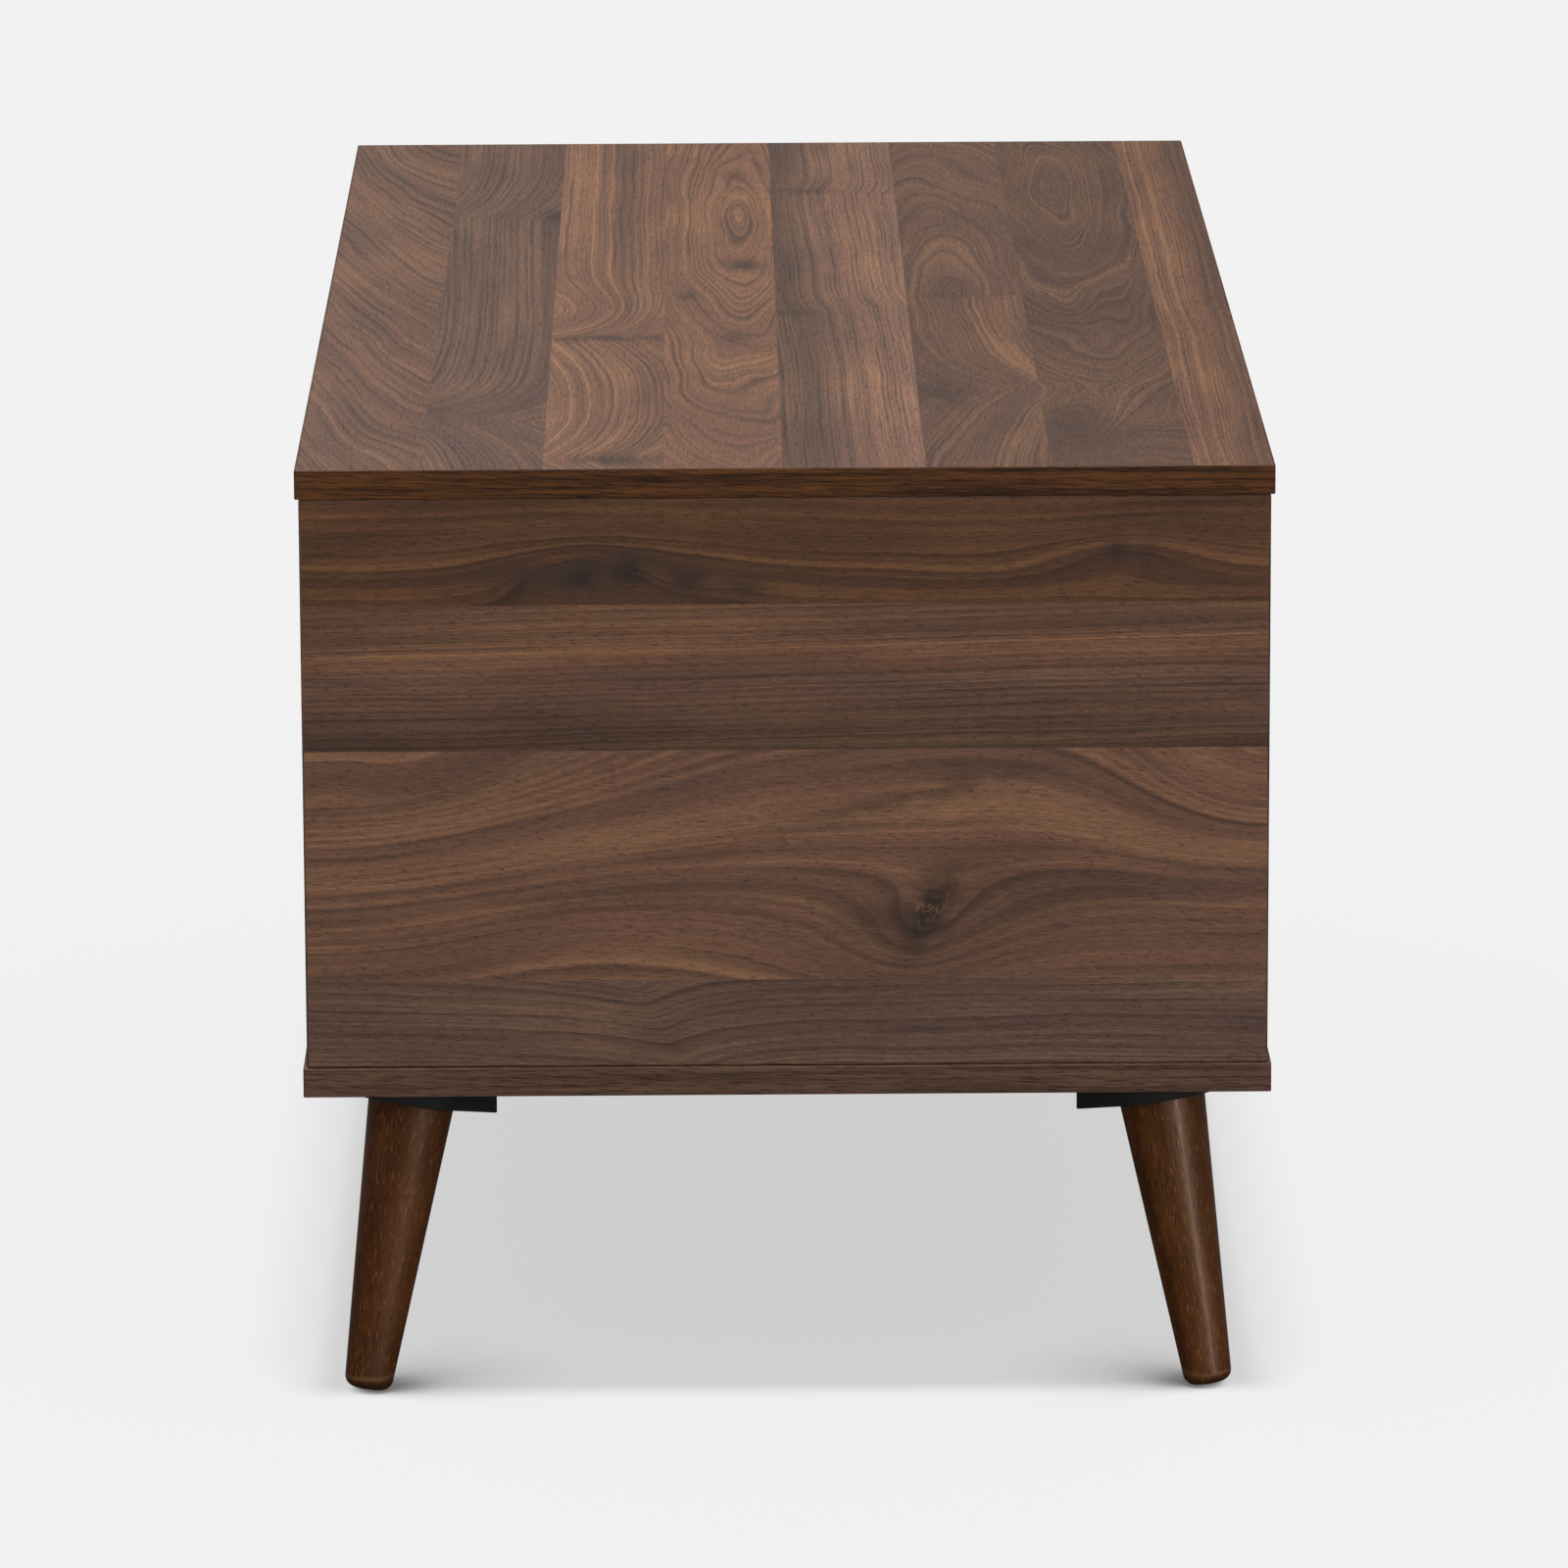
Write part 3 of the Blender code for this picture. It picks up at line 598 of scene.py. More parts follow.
END_PLANKS = (
    (0.181, 1.03, 1.03, -1.1, 0.0046, 0, 0, 0.004, 0),
    (0.227, 1.26, 1.26, 0.1, 0.013, 0, 0, 0.004, 1),
    (0.3486, 0.57, 1.1, -0.3, 0.0036, -0.02, 0, 0.002, 2),
    (0.39, 1.06, 0.96, 0.3, 0.0036, -0.02, 0, 0.002, 2),
    (0.425, 0.66, 0.69, 1.5, 0.0085, 0, 0, 0.006, 3))
END_KNOTS = (
    (0, -0.066, 0.193, 0.016, 0.01, 0, 0, 0, 0.45, 0),
    (1, -0.25, 0.345, 0.17, 0.07, 0.09, 0, 0, 0, 0),
    (1, -0.236, 0.336, 0.03, 0.014, -0.016, 0, 0, 0, 0),
    (1, 0.25, 0.345, 0.07, 0.05, 0.08, 0, 0, 0, 0),
    (1, -0.1, 0.25, 0.09, 0.045, -0.016, 0, 0, 0, 0),
    (1, -0.14, 0.333, 0.07, 0.024, 0, 0, 0, -1.1, 0),
    (1, 0.225, 0.335, 0.045, 0.022, 0, 0, 0, -1, 0),
    (1, 0.07, 0.325, 0.026, 0.015, 0, 0, 3.4, 0.6, 0),
    (1, 0.074, 0.258, 0.055, 0.04, 0.024, 0.35, 0.35, 0, 0),
    (1, 0.072, 0.261, 0.024, 0.024, 0.01, 0.4, 0.35, 0.42, 0),
    (1, 0.074, 0.263, 0.013, 0.024, 0, 0, 0.4, 0.45, 0.9),
    (1, 0.044, 0.259, 0.022, 0.009, 0, 0, 0, 0.35, 0),
    (1, 0.104, 0.283, 0.022, 0.01, 0, 0, 1.6, 0.35, 0),
    (4, -0.094, 0.441, 0.056, 0.02, -0.022, 0, 0, 0.36, 0),
    (4, -0.112, 0.444, 0.018, 0.011, -0.01, 0, 0.8, 0.35, 0),
    (4, -0.056, 0.44, 0.02, 0.009, 0.009, 0, -0.6, 0.3, 0),
    (4, -0.079, 0.442, 0.012, 0.01, 0, 0, 0, 0.45, 0.95),
    (4, -0.103, 0.44, 0.009, 0.008, 0, 0, 0, 0.4, 0.8),
    (4, -0.133, 0.441, 0.028, 0.006, 0, 0, 0, 0.45, 0),
    (4, -0.05, 0.437, 0.01, 0.007, 0, 0, 0, 0.4, 0.5),
    (4, -0.021, 0.434, 0.012, 0.007, 0, 0, 0, 0.55, 0.3),
    (4, 0.172, 0.45, 0.044, 0.015, -0.014, 0, 0.5, 0.2, 0),
    (4, 0.17, 0.452, 0.009, 0.006, 0, 0, 0, 0.35, 0.7),
    (4, 0.186, 0.451, 0.007, 0.005, 0, 0, 0, 0.35, 0.5))
END_FOLDS = (
    (0, -0.063, 0.196, 0.07, 0.03, 0.015, 0.6),)
END_STRIPES = (
    (3, 0.401, 0.006, -0.3, 0.3, 0.25),
    (2, 0.377, 0.003, -0.3, 0.06, 0.22),
    (1, 0.338, 0.007, -0.25, 0.02, 0.24),
    (1, 0.396, 0.02, -0.22, -0.09, -0.24),
    (1, 0.42, 0.01, -0.3, -0.22, 0.16),
    (1, 0.353, 0.002, 0.14, 0.3, -0.3),
    (1, 0.388, 0.015, 0.17, 0.3, 0.14),
    (1, 0.25, 0.006, -0.2, 0.02, 0.18),
    (1, 0.283, 0.006, 0.09, 0.3, -0.2),
    (4, 0.47, 0.005, -0.3, -0.19, 0.45),
    (4, 0.455, 0.006, -0.3, -0.19, -0.22))
end_walnut = laminate("end_walnut", "y", "z", END_PLANKS, 0.481, END_KNOTS, END_FOLDS, (), END_STRIPES,
                      seed=5.0, specular=0.14, ink=0.38, ripple=0.0012, fleck=130.0)
print("plank rows:", len(TOP_PLANKS), "and", len(END_PLANKS))

# %% [markdown]
# The other boards are cut from more of the same sheet. Three laminates are enough: one for boards that lie
# flat, one for uprights across the table, and one for uprights along it, where one print runs through both
# drawer fronts.

# %% Other laminates
flat_rows = random_planks(11, -0.25, 0.25, 0.06, 0.12)
flat_walnut = laminate("flat_walnut", "x", "y", flat_rows, 0.25,
                       random_knots(12, flat_rows, -0.48, 0.48, 0.25, 8), seed=20.0)
cross_rows = random_planks(21, 0.18, 0.482, 0.05, 0.12)
cross_walnut = laminate("cross_walnut", "y", "z", cross_rows, 0.482,
                        random_knots(22, cross_rows, -0.24, 0.24, 0.482, 5), seed=40.0)
front_rows = random_planks(31, 0.18, 0.362, 0.045, 0.09)
front_walnut = laminate("front_walnut", "x", "z", front_rows, 0.362,
                        random_knots(32, front_rows, -0.45, 0.45, 0.362, 6), seed=60.0)
print("other laminates:", flat_walnut.name, cross_walnut.name, front_walnut.name)

# %% [markdown]
# ## Edge bands and chipboard
# A cut edge of chipboard is covered by a thin band with its own straight grain, a little darker than the
# faces. The grain has to follow the edge round the corners, so the band reads its own UV map, in metres.

# %% Band and chipboard materials
def band_material(name, dark, light):
    material, tree, shader = new_material(name, 0.12)
    u, v, _ = split(add_node(tree, 'ShaderNodeUVMap', {}, uv_map="band"))
    slow = noise(u * 5.0, v * 420.0, detail=3.0)
    fibre = noise(u * 40.0 + v * 310.0, v * 900.0, v * 270.0, detail=3.0, rough=0.7)
    pore = fade(noise(u * 110.0 + v * 530.0, v * 900.0, v * 410.0), 0.52, 0.64)
    colour = ramp(fade(slow * 0.7 + fibre * 0.9 - 0.30, 0.26, 0.74), dark, light)
    colour = blend(1.0, colour, grey(1.06 - pore * 0.50), 'MULTIPLY')
    dress(tree, shader, colour, 0.46 + fibre * 0.10 + pore * 0.10, fibre * 0.4 - pore, 0.00005)
    return material


top_band = band_material("top_band", (0.016, 0.0050, 0.0009), (0.080, 0.0275, 0.0058))
panel_band = band_material("panel_band", (0.040, 0.020, 0.0120), (0.086, 0.046, 0.0290))

chipboard, tree, shader = new_material("chipboard", 0.2)
chips = noise(*[c * 420.0 for c in place_in(tree).values()], detail=3.0, rough=0.7)
colour = ramp(fade(chips, 0.25, 0.75), (0.16, 0.095, 0.050), (0.46, 0.33, 0.20))
dress(tree, shader, colour, 0.80 + chips * 0.15, chips, 0.0004)
print("band materials:", top_band.name, panel_band.name)

# %% [markdown]
# ## Boards
# Every board is a core with a laminate on both faces and a band round its edges. Both follow one outline,
# so they are skinned from loops of points: the core from two loops, and the band from a rounded profile
# that closes on itself. A bevel on a cube would round the core too, and hide where the band ends.

# %% Board helpers
BAND = 0.001
BAND_ROUND = 0.0005
CORNER = 0.0012
ARC = 5


def rounded(corners, steps=ARC):
    """A closed outline through (x, y, radius) corners, anticlockwise."""
    points = []
    for i, (x, y, radius) in enumerate(corners):
        here = Vector((x, y))
        back = (Vector(corners[i - 1][:2]) - here).normalized()
        on = (Vector(corners[(i + 1) % len(corners)][:2]) - here).normalized()
        half = back.angle(on) / 2
        middle = here + (back + on).normalized() * (radius / math.sin(half))
        first = here + back * (radius / math.tan(half)) - middle
        turn = first.angle_signed(here + on * (radius / math.tan(half)) - middle)
        for k in range(steps + 1):
            points.append(middle + Matrix.Rotation(-turn * k / steps, 2) @ first)
    return points


def inset(points, by):
    """A closed anticlockwise outline, moved inwards by the same distance all round."""
    moved = []
    for i, here in enumerate(points):
        back = (here - points[i - 1]).normalized()
        on = (points[(i + 1) % len(points)] - here).normalized()
        first, second = Vector((-back.y, back.x)), Vector((-on.y, on.x))
        mitre = first + second
        moved.append(here + mitre * (by / mitre.dot(first)))
    return moved


def quarter(radius, steps):
    """Steps round a quarter circle, from a flat face to the edge: how far inwards, and how far up."""
    angles = [math.pi / 2 * k / steps for k in range(steps + 1)]
    return [(radius * (1 - math.sin(a)), radius * (1 - math.cos(a))) for a in angles]


def skin(rows, closed=False):
    """Walls between loops of points, and end caps, or a closing wall from the last loop to the first."""
    bm = bmesh.new()
    loops = [[bm.verts.new(point) for point in row] for row in rows]
    pairs = list(zip(loops, loops[1:]))
    if closed:
        pairs.append((loops[-1], loops[0]))
    else:
        bm.faces.new(loops[0])
        bm.faces.new(loops[-1])
    for low, high in pairs:
        for i in range(len(low)):
            bm.faces.new((low[i - 1], low[i], high[i], high[i - 1]))
    bmesh.ops.recalc_face_normals(bm, faces=bm.faces)
    return bm, loops


def add_piece(name, bm, materials, body, replaced=(), smooth=None):
    """Turn a bmesh into a piece that rides on a body."""
    mesh = bpy.data.meshes.new(name)
    bm.to_mesh(mesh)
    bm.free()
    for material in materials:
        mesh.materials.append(material)
    if smooth is not None:
        mesh.shade_smooth()
        mesh.set_sharp_from_angle(angle=math.radians(smooth))
    piece = put(name, mesh)
    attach(piece, body)
    if replaced:
        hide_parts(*replaced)
    return piece


AXES = {"x": (1, 2, 0), "y": (0, 2, 1), "z": (0, 1, 2)}


def to_space(axis, point, across):
    """A point of a board's outline, at a place through its thickness, in the table's frame."""
    first, second, through = AXES[axis]
    made = [0.0, 0.0, 0.0]
    made[first], made[second], made[through] = point[0], point[1], across
    return made


def add_band(name, axis, outline, low, high, material, body):
    """The band of one board: a rounded strip that closes on itself."""
    arcs = quarter(BAND_ROUND, 3)
    profile = [(BAND, low)] + [(side, low + rise) for side, rise in arcs]
    profile += [(side, high - rise) for side, rise in reversed(arcs)] + [(BAND, high)]
    rows = [[to_space(axis, point, across) for point in inset(outline, by)] for by, across in profile]
    bm, loops = skin(rows, closed=True)
    spots = {vert: (row, column) for row, loop in enumerate(loops) for column, vert in enumerate(loop)}
    along = [0.0]
    for i in range(len(outline)):
        along.append(along[-1] + (outline[i] - outline[i - 1]).length)
    over = [0.0]
    for first, second in zip(profile, profile[1:] + profile[:1]):
        over.append(over[-1] + math.dist(first, second))
    uv = bm.loops.layers.uv.new("band")
    for face in bm.faces:
        rows_here = {spots[loop.vert][0] for loop in face.loops}
        columns = {spots[loop.vert][1] for loop in face.loops}
        for loop in face.loops:
            row, column = spots[loop.vert]
            row = len(profile) if row == 0 and len(profile) - 1 in rows_here else row
            column = -1 if column == len(outline) - 1 and 0 in columns else column
            loop[uv].uv = (along[column + 1], over[row])
    return add_piece(name, bm, [material], body)


def add_board(node, axis, face, band, body, corners=None):
    """The core and the band that stand for one board."""
    low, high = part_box(node)
    first, second, through = AXES[axis]
    if corners is None:
        corners = [(low[first], low[second], CORNER), (high[first], low[second], CORNER),
                   (high[first], high[second], CORNER), (low[first], high[second], CORNER)]
    outline = rounded(corners)
    rows = [[to_space(axis, point, across) for point in inset(outline, BAND)]
            for across in (low[through], high[through])]
    bm = skin(rows)[0]
    for face_made in bm.faces:
        face_made.material_index = 0 if len(face_made.verts) > 4 else 1
    core = add_piece(node + "_core", bm, [face, chipboard], body, [node])
    add_band(node + "_band", axis, outline, low[through], high[through], band, body)
    return core


print("board helpers ready")

# %% [markdown]
# The two long boards lie flat and reach past the case by the width of a pencil line. The end panels stand
# between them. Their cams sit in round pockets, which a Boolean drills into the core's inner face.

# %% Case boards
add_board("top_board", "z", top_walnut, top_band, "case")
add_board("bottom_board", "z", flat_walnut, panel_band, "case")
right_core = add_board("end_panel_right", "x", end_walnut, panel_band, "case")
left_core = add_board("end_panel_left", "x", cross_walnut, panel_band, "case")
add_board("centre_partition", "x", cross_walnut, panel_band, "case")
for end_name in ("right", "left"):
    add_board("shelf_" + end_name, "z", flat_walnut, panel_band, "case")
    add_board("rear_panel_" + end_name, "y", front_walnut, panel_band, "case")

CAM_NODES = sorted(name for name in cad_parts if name.startswith("cam_lock"))
CAM_RADIUS = 0.0075
CAM_CLEAR = 0.0003
POCKET_LENGTH = 0.0123
WELD = 1e-6


def middle_of(node):
    low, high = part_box(node)
    return (low + high) / 2


def drill(piece, holes):
    """Cut round holes, each given as (place matrix, radius, length), and keep the plain mesh."""
    bm = bmesh.new()
    for place, radius, length in holes:
        bmesh.ops.create_cone(bm, cap_ends=True, segments=48, radius1=radius, radius2=radius,
                              depth=length, matrix=place)
    mesh = bpy.data.meshes.new("drill")
    bm.to_mesh(mesh)
    bm.free()
    for _ in piece.data.materials:
        mesh.materials.append(None)
    mesh.polygons.foreach_set("material_index", [len(piece.data.materials) - 1] * len(mesh.polygons))
    cutter = put("drill", mesh)
    boolean = piece.modifiers.new("drill", 'BOOLEAN')
    boolean.operation, boolean.solver, boolean.object = 'DIFFERENCE', 'EXACT', cutter
    made = bpy.data.meshes.new_from_object(piece.evaluated_get(bpy.context.evaluated_depsgraph_get()))
    piece.modifiers.clear()
    bm = bmesh.new()
    bm.from_mesh(made)
    bmesh.ops.remove_doubles(bm, verts=bm.verts, dist=WELD)
    bm.to_mesh(made)
    bm.free()
    piece.data = made
    bpy.data.objects.remove(cutter, do_unlink=True)


for core, side in ((right_core, "right"), (left_core, "left")):
    cams = [middle_of(name) for name in CAM_NODES if name.startswith("cam_lock_" + side)]
    drill(core, [(Matrix.Translation(place) @ Matrix.Rotation(math.pi / 2, 4, 'Y'),
                  CAM_RADIUS + CAM_CLEAR, POCKET_LENGTH) for place in cams])

# %% [markdown]
# ## Drawer fronts
# The fronts are flush with the case and have no pulls. A hand reaches into a cut-out in the upper edge, so
# the outline dips there, and the band runs down into it and up again.

# %% Drawer fronts
GRIP_HALF = 0.055
GRIP_DEEP = 0.026
GRIP_ROUND = 0.013
GRIP_LIP = 0.002
for end_name in ("right", "left"):
    node = f"drawer_{end_name}_front"
    low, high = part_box(node)
    middle = (low.x + high.x) / 2
    dip = high.z - GRIP_DEEP
    corners = [(low.x, low.z, CORNER), (high.x, low.z, CORNER), (high.x, high.z, CORNER),
               (middle + GRIP_HALF, high.z, GRIP_LIP), (middle + GRIP_HALF, dip, GRIP_ROUND),
               (middle - GRIP_HALF, dip, GRIP_ROUND), (middle - GRIP_HALF, high.z, GRIP_LIP),
               (low.x, high.z, CORNER)]
    add_board(node, "y", front_walnut, panel_band, f"drawer_{end_name}", corners)

# %% [markdown]
# ## Legs
# Each leg is turned from solid wood, stained dark and lacquered, and leans out along the corner's diagonal.
# A lathe is a skin over circles. The grain must run along the leaning axis, so each point keeps its place
# on the lathe as an attribute, and the wood reads that.

# %% Leg wood
leg_wood, tree, shader = new_material("leg_wood", 0.06)
shader.inputs["Coat Roughness"].default_value = 0.22
x, y, z = split(add_node(tree, 'ShaderNodeAttribute', {}, "Vector", attribute_name="lathe"))
sway = noise(x * 9.0, y * 9.0, z * 6.0, detail=1.0) - 0.5
across = x + y * 0.35 + sway * 0.020
bands = noise(across * 210.0, z * 1.5, detail=3.0, rough=0.6)
cloud = noise(x * 45.0, y * 45.0, z * 22.0, detail=3.0)
fibre = noise(x * 1100.0, y * 1100.0, z * 50.0)
pale_pore = fade(noise(x * 1000.0 + 4.0, y * 1000.0, z * 170.0, detail=1.0), 0.60, 0.70)
dark_pore = fade(noise(x * 900.0, y * 900.0 + 8.0, z * 110.0, detail=1.0), 0.58, 0.70)
stain = ramp(fade(bands * 0.35 + cloud * 0.65, 0.2, 0.8),
             (0.033, 0.0100, 0.0024), (0.058, 0.0186, 0.0044), (0.090, 0.0315, 0.0080), middle=0.45)
stain = blend(dark_pore * 0.55, stain, (0.012, 0.005, 0.003, 1.0))
stain = blend(pale_pore * 0.60, stain, (0.150, 0.066, 0.022, 1.0))
stain = blend(1.0, stain, grey(0.66 + fibre * 0.56), 'MULTIPLY')
height = place_in(tree)["z"] + cloud * 0.006
# A lighter, wavy ring at a fixed height, where the foot starts to round.
foot_ring = fade(height, 0.0095, 0.0110) * fade(height, 0.0130, 0.0112)
stain = blend(foot_ring * 0.45, stain, (0.120, 0.062, 0.030, 1.0))
# Painted shade: the lowest centimetre of each leg is darkened where the foot meets the floor.
stain = blend(fade(height, 0.0100, 0.0075) * 0.55, stain, (0.014, 0.0055, 0.0025, 1.0))
dress(tree, shader, stain, 0.38 + fibre * 0.12 + dark_pore * 0.10,
      fibre * 0.3 - dark_pore - pale_pore * 0.5, 0.00005)
feed(tree, shader.inputs["Coat Weight"], cloud * 0.03)
print("leg wood nodes:", len(tree.nodes))

# %% [markdown]
# A turner cuts each leg to one profile: an eased rim at the top, a straight taper and a rounded foot. A cone
# would give the taper alone, so the leg is skinned over circles whose radii follow the profile. The foot is
# cut level at the floor, because the rim of a leaning leg would reach below it.

# %% Turned legs
LEG_TILT = math.radians(12.9)
LEG_TOP_R = 0.0225
FOOT_R = 0.0127
FOOT_ROUND = 0.006
LEG_AT = (0.446, 0.196)
BOARD_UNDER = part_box("bottom_board")[0].z
SEAT = 0.0003
BRACKET_THICK = 0.0155
AROUND = 80
POLE = 0.0010
TOP_EASE = (0.0005, 0.0004)
FOOT_SINK = 0.0008
leg_top = BOARD_UNDER - BRACKET_THICK - 2 * SEAT
rim = (FOOT_R - FOOT_ROUND) * math.sin(LEG_TILT) + FOOT_ROUND * (1 - math.cos(LEG_TILT))
leg_length = (leg_top + FOOT_SINK - rim) / math.cos(LEG_TILT)


def leg_profile():
    """(radius, distance down the axis) from the top's rim to the foot."""
    straight = leg_length - FOOT_ROUND
    rows = [(POLE, 0.0), (LEG_TOP_R - TOP_EASE[0], 0.0)]
    for k in range(25):
        down = TOP_EASE[1] + (straight - TOP_EASE[1]) * k / 24
        rows.append((LEG_TOP_R + (FOOT_R - LEG_TOP_R) * down / straight, down))
    for k in range(1, 11):
        a = math.pi / 2 * k / 10
        rows.append((FOOT_R - FOOT_ROUND * (1 - math.cos(a)), straight + FOOT_ROUND * math.sin(a)))
    return rows + [(POLE, leg_length)]


def add_leg(end_name, sx, side_name, sy, number):
    place = Matrix.Translation((sx * LEG_AT[0], sy * LEG_AT[1], leg_top))
    lean = Matrix.Rotation(math.atan2(sy, sx), 4, 'Z') @ Matrix.Rotation(-LEG_TILT, 4, 'Y')
    rows = [[Vector((radius * math.cos(a), radius * math.sin(a), -down))
             for a in [2 * math.pi * k / AROUND for k in range(AROUND)]] for radius, down in leg_profile()]
    bm = skin(rows)[0]
    layer = bm.verts.layers.float_vector.new("lathe")
    for vert in bm.verts:
        vert[layer] = vert.co + Vector((0.31 * number, 0.17 * number, 0.23 * number))
        vert.co = place @ lean @ vert.co
        vert.co.z = max(vert.co.z, 0.0)
    name = f"leg_{side_name}_{end_name}"
    return add_piece(name + "_turned", bm, [leg_wood], "case", [name], smooth=30)


CORNERS = [(e, sx, s, sy) for e, sx in (("right", 1), ("left", -1)) for s, sy in (("front", -1), ("rear", 1))]
for number, corner in enumerate(CORNERS):
    leg = add_leg(*corner, number)
    glossed.objects.link(leg)
    shut_out(leg, case_only)
print("leg length:", round(leg_length, 4), "points per leg:", AROUND * len(leg_profile()))

# %% [markdown]
# ## Brackets
# A black moulded wedge under each corner sets the leg's splay. It is round towards the corner and square
# towards the middle. Its edges are rounded as a mould leaves them, and four counterbores take the screws.

# %% Bracket plastic
black_plastic, tree, shader = new_material("black_plastic", 0.22)
x, y, z = place_in(tree).values()
orange_peel = noise(x * 900.0, y * 900.0, z * 900.0)
flow = noise(x * 35.0, y * 35.0, z * 60.0)
colour = ramp(fade(flow * 0.7 + orange_peel * 0.3, 0.2, 0.8),
              (0.0040, 0.0042, 0.0044), (0.0085, 0.0086, 0.0086))
dress(tree, shader, colour, 0.46 + orange_peel * 0.14 + flow * 0.08, orange_peel, 0.00006)
print("plastic nodes:", len(tree.nodes))

# %% [markdown]
# The wedge could be a cube with a slanted face, but its plan is round on one side. So one outline is drawn,
# inset a little for the rounded edges, and skinned from the level upper face to the slanted lower one, where
# the leg stands square. The holes are drilled as in the end panels.

# %% Brackets
PLATE_ROUND = 0.0009
SCREW_FLOOR = 0.005
SCREW_SPOTS = ((0.0205, 0.0205), (0.0205, -0.0205), (-0.0245, 0.0265), (-0.0245, -0.0265))
COUNTERBORE_R = 0.0042
BOLT_BORE_R = 0.0043
HOLE_LENGTH = 0.05
BORE_LENGTH = 0.06
WEDGE = ((0.034, -0.034, 0.034), (0.034, 0.034, 0.034), (-0.031, 0.034, 0.003), (-0.031, -0.034, 0.003))
fall = math.tan(LEG_TILT)


def add_bracket(end_name, sx, side_name, sy):
    outline = rounded(WEDGE, steps=20)
    place = Matrix.Translation((sx * LEG_AT[0], sy * LEG_AT[1], BOARD_UNDER - SEAT))
    turned = place @ Matrix.Rotation(math.atan2(sy, sx), 4, 'Z')
    loops = [(inset(outline, by), rise) for by, rise in quarter(PLATE_ROUND, 4)]
    rows = [[(p.x, p.y, -rise) for p in loop] for loop, rise in loops]
    rows += [[(p.x, p.y, fall * p.x - BRACKET_THICK + rise) for p in loop] for loop, rise in reversed(loops)]
    bm = skin(rows)[0]
    bm.transform(turned)
    name = f"leg_bracket_{side_name}_{end_name}"
    piece = add_piece(name + "_moulded", bm, [black_plastic], "case", [name], smooth=40)
    bore = turned @ Matrix.Translation((0.0, 0.0, -BRACKET_THICK)) @ Matrix.Rotation(-LEG_TILT, 4, 'Y')
    holes = [(turned @ Matrix.Translation((x, y, -SCREW_FLOOR - HOLE_LENGTH / 2)), COUNTERBORE_R, HOLE_LENGTH)
             for x, y in SCREW_SPOTS]
    drill(piece, holes + [(bore, BOLT_BORE_R, BORE_LENGTH)])
    return [turned @ Vector((x, y, -SCREW_FLOOR)) for x, y in SCREW_SPOTS]


bracket_screws = [spot for corner in CORNERS for spot in add_bracket(*corner)]
print("bracket screws:", len(bracket_screws))

# %% [markdown]
# ## Metal
# Screws, cams and bolts are zinc plated, which leaves a dull, slightly cloudy grey. The slides are bright
# rolled steel with fine streaks along their length. Both are metals whose roughness changes over the surface.

# %% Metal materials
def metal(name, dark, light, streaks, rough):
    material, tree, shader = new_material(name)
    shader.inputs["Metallic"].default_value = 1.0
    at = place_in(tree).values()
    cloud = noise(*[c * 160.0 for c in at], detail=3.0)
    drawn = noise(*[c * scale for c, scale in zip(at, streaks)])
    colour = ramp(fade(cloud * 0.6 + drawn * 0.4, 0.25, 0.75), dark, light)
    dress(tree, shader, colour, rough + cloud * 0.14 + drawn * 0.10, drawn, 0.00001)
    return material


zinc = metal("zinc", (0.38, 0.37, 0.35), (0.62, 0.61, 0.58), (900.0, 900.0, 900.0), 0.26)
rail_steel = metal("rail_steel", (0.34, 0.35, 0.36), (0.58, 0.59, 0.60), (2200.0, 18.0, 2200.0), 0.20)
print("metals:", zinc.name, rail_steel.name)

# %% [markdown]
# ## Screws and cams
# The same cross-head shape repeats on screws and cams, so one Geometry Nodes tree makes both. It shapes a
# cylinder into a head, cuts a cross out of it, and sets one on every given point, facing the way that the
# point's aim says, with its cross at a seeded random turn. One bar of the cross is a hair deeper than the
# other, because a Boolean leaves broken edges where two faces share a plane.

# %% Cross-head tree
HEAD_SIDES = 32
heads = bpy.data.node_groups.new("cross_heads", 'GeometryNodeTree')
SIZES = ("Head diameter", "Head height", "Rim taper", "Cross length", "Cross width", "Cross depth")
KINDS = {"Points": 'Geometry', **dict.fromkeys(SIZES, 'Float'), "Seed": 'Int', "Metal": 'Material'}
for label, kind in KINDS.items():
    heads.interface.new_socket(label, in_out='INPUT', socket_type='NodeSocket' + kind)
heads.interface.new_socket("Heads", in_out='OUTPUT', socket_type='NodeSocketGeometry')
given = {socket.name: Wire(heads, socket) for socket in heads.nodes.new('NodeGroupInput').outputs}


def geo(kind, fed, out=0, **settings):
    """A node of the tree of heads."""
    return add_node(heads, kind, fed, out, **settings)


height = given["Head height"]
blank = geo('GeometryNodeMeshCylinder', {"Vertices": HEAD_SIDES, "Side Segments": 4,
                                         "Radius": given["Head diameter"] * 0.5, "Depth": height})
x, y, z = split(geo('GeometryNodeInputPosition', {}))
rise = maths('MAXIMUM', z / height * 2.0, 0.0)
slim = 1.0 - given["Rim taper"] * rise * rise
domed = vector(x * slim, y * slim, z + height * 0.5)
shaped = geo('GeometryNodeSetPosition', {"Geometry": blank, "Position": domed})

long, wide, deep = [given["Cross " + size] for size in ("length", "width", "depth")]
bars = [geo('GeometryNodeMeshCube', {"Size": size})
        for size in (vector(long, wide, deep * 2.0), vector(wide, long, deep * 2.1))]
cross = geo('GeometryNodeMeshBoolean', {"Mesh 2": bars[0]}, operation='UNION')
# A second link into the same socket adds the other bar.
heads.links.new(bars[1].socket, cross.socket.node.inputs["Mesh 2"])
raised = geo('GeometryNodeTransform', {"Geometry": cross, "Translation": vector(0.0, 0.0, height)})
cut = geo('GeometryNodeMeshBoolean', {"Mesh 1": shaped, "Mesh 2": raised}, operation='DIFFERENCE')

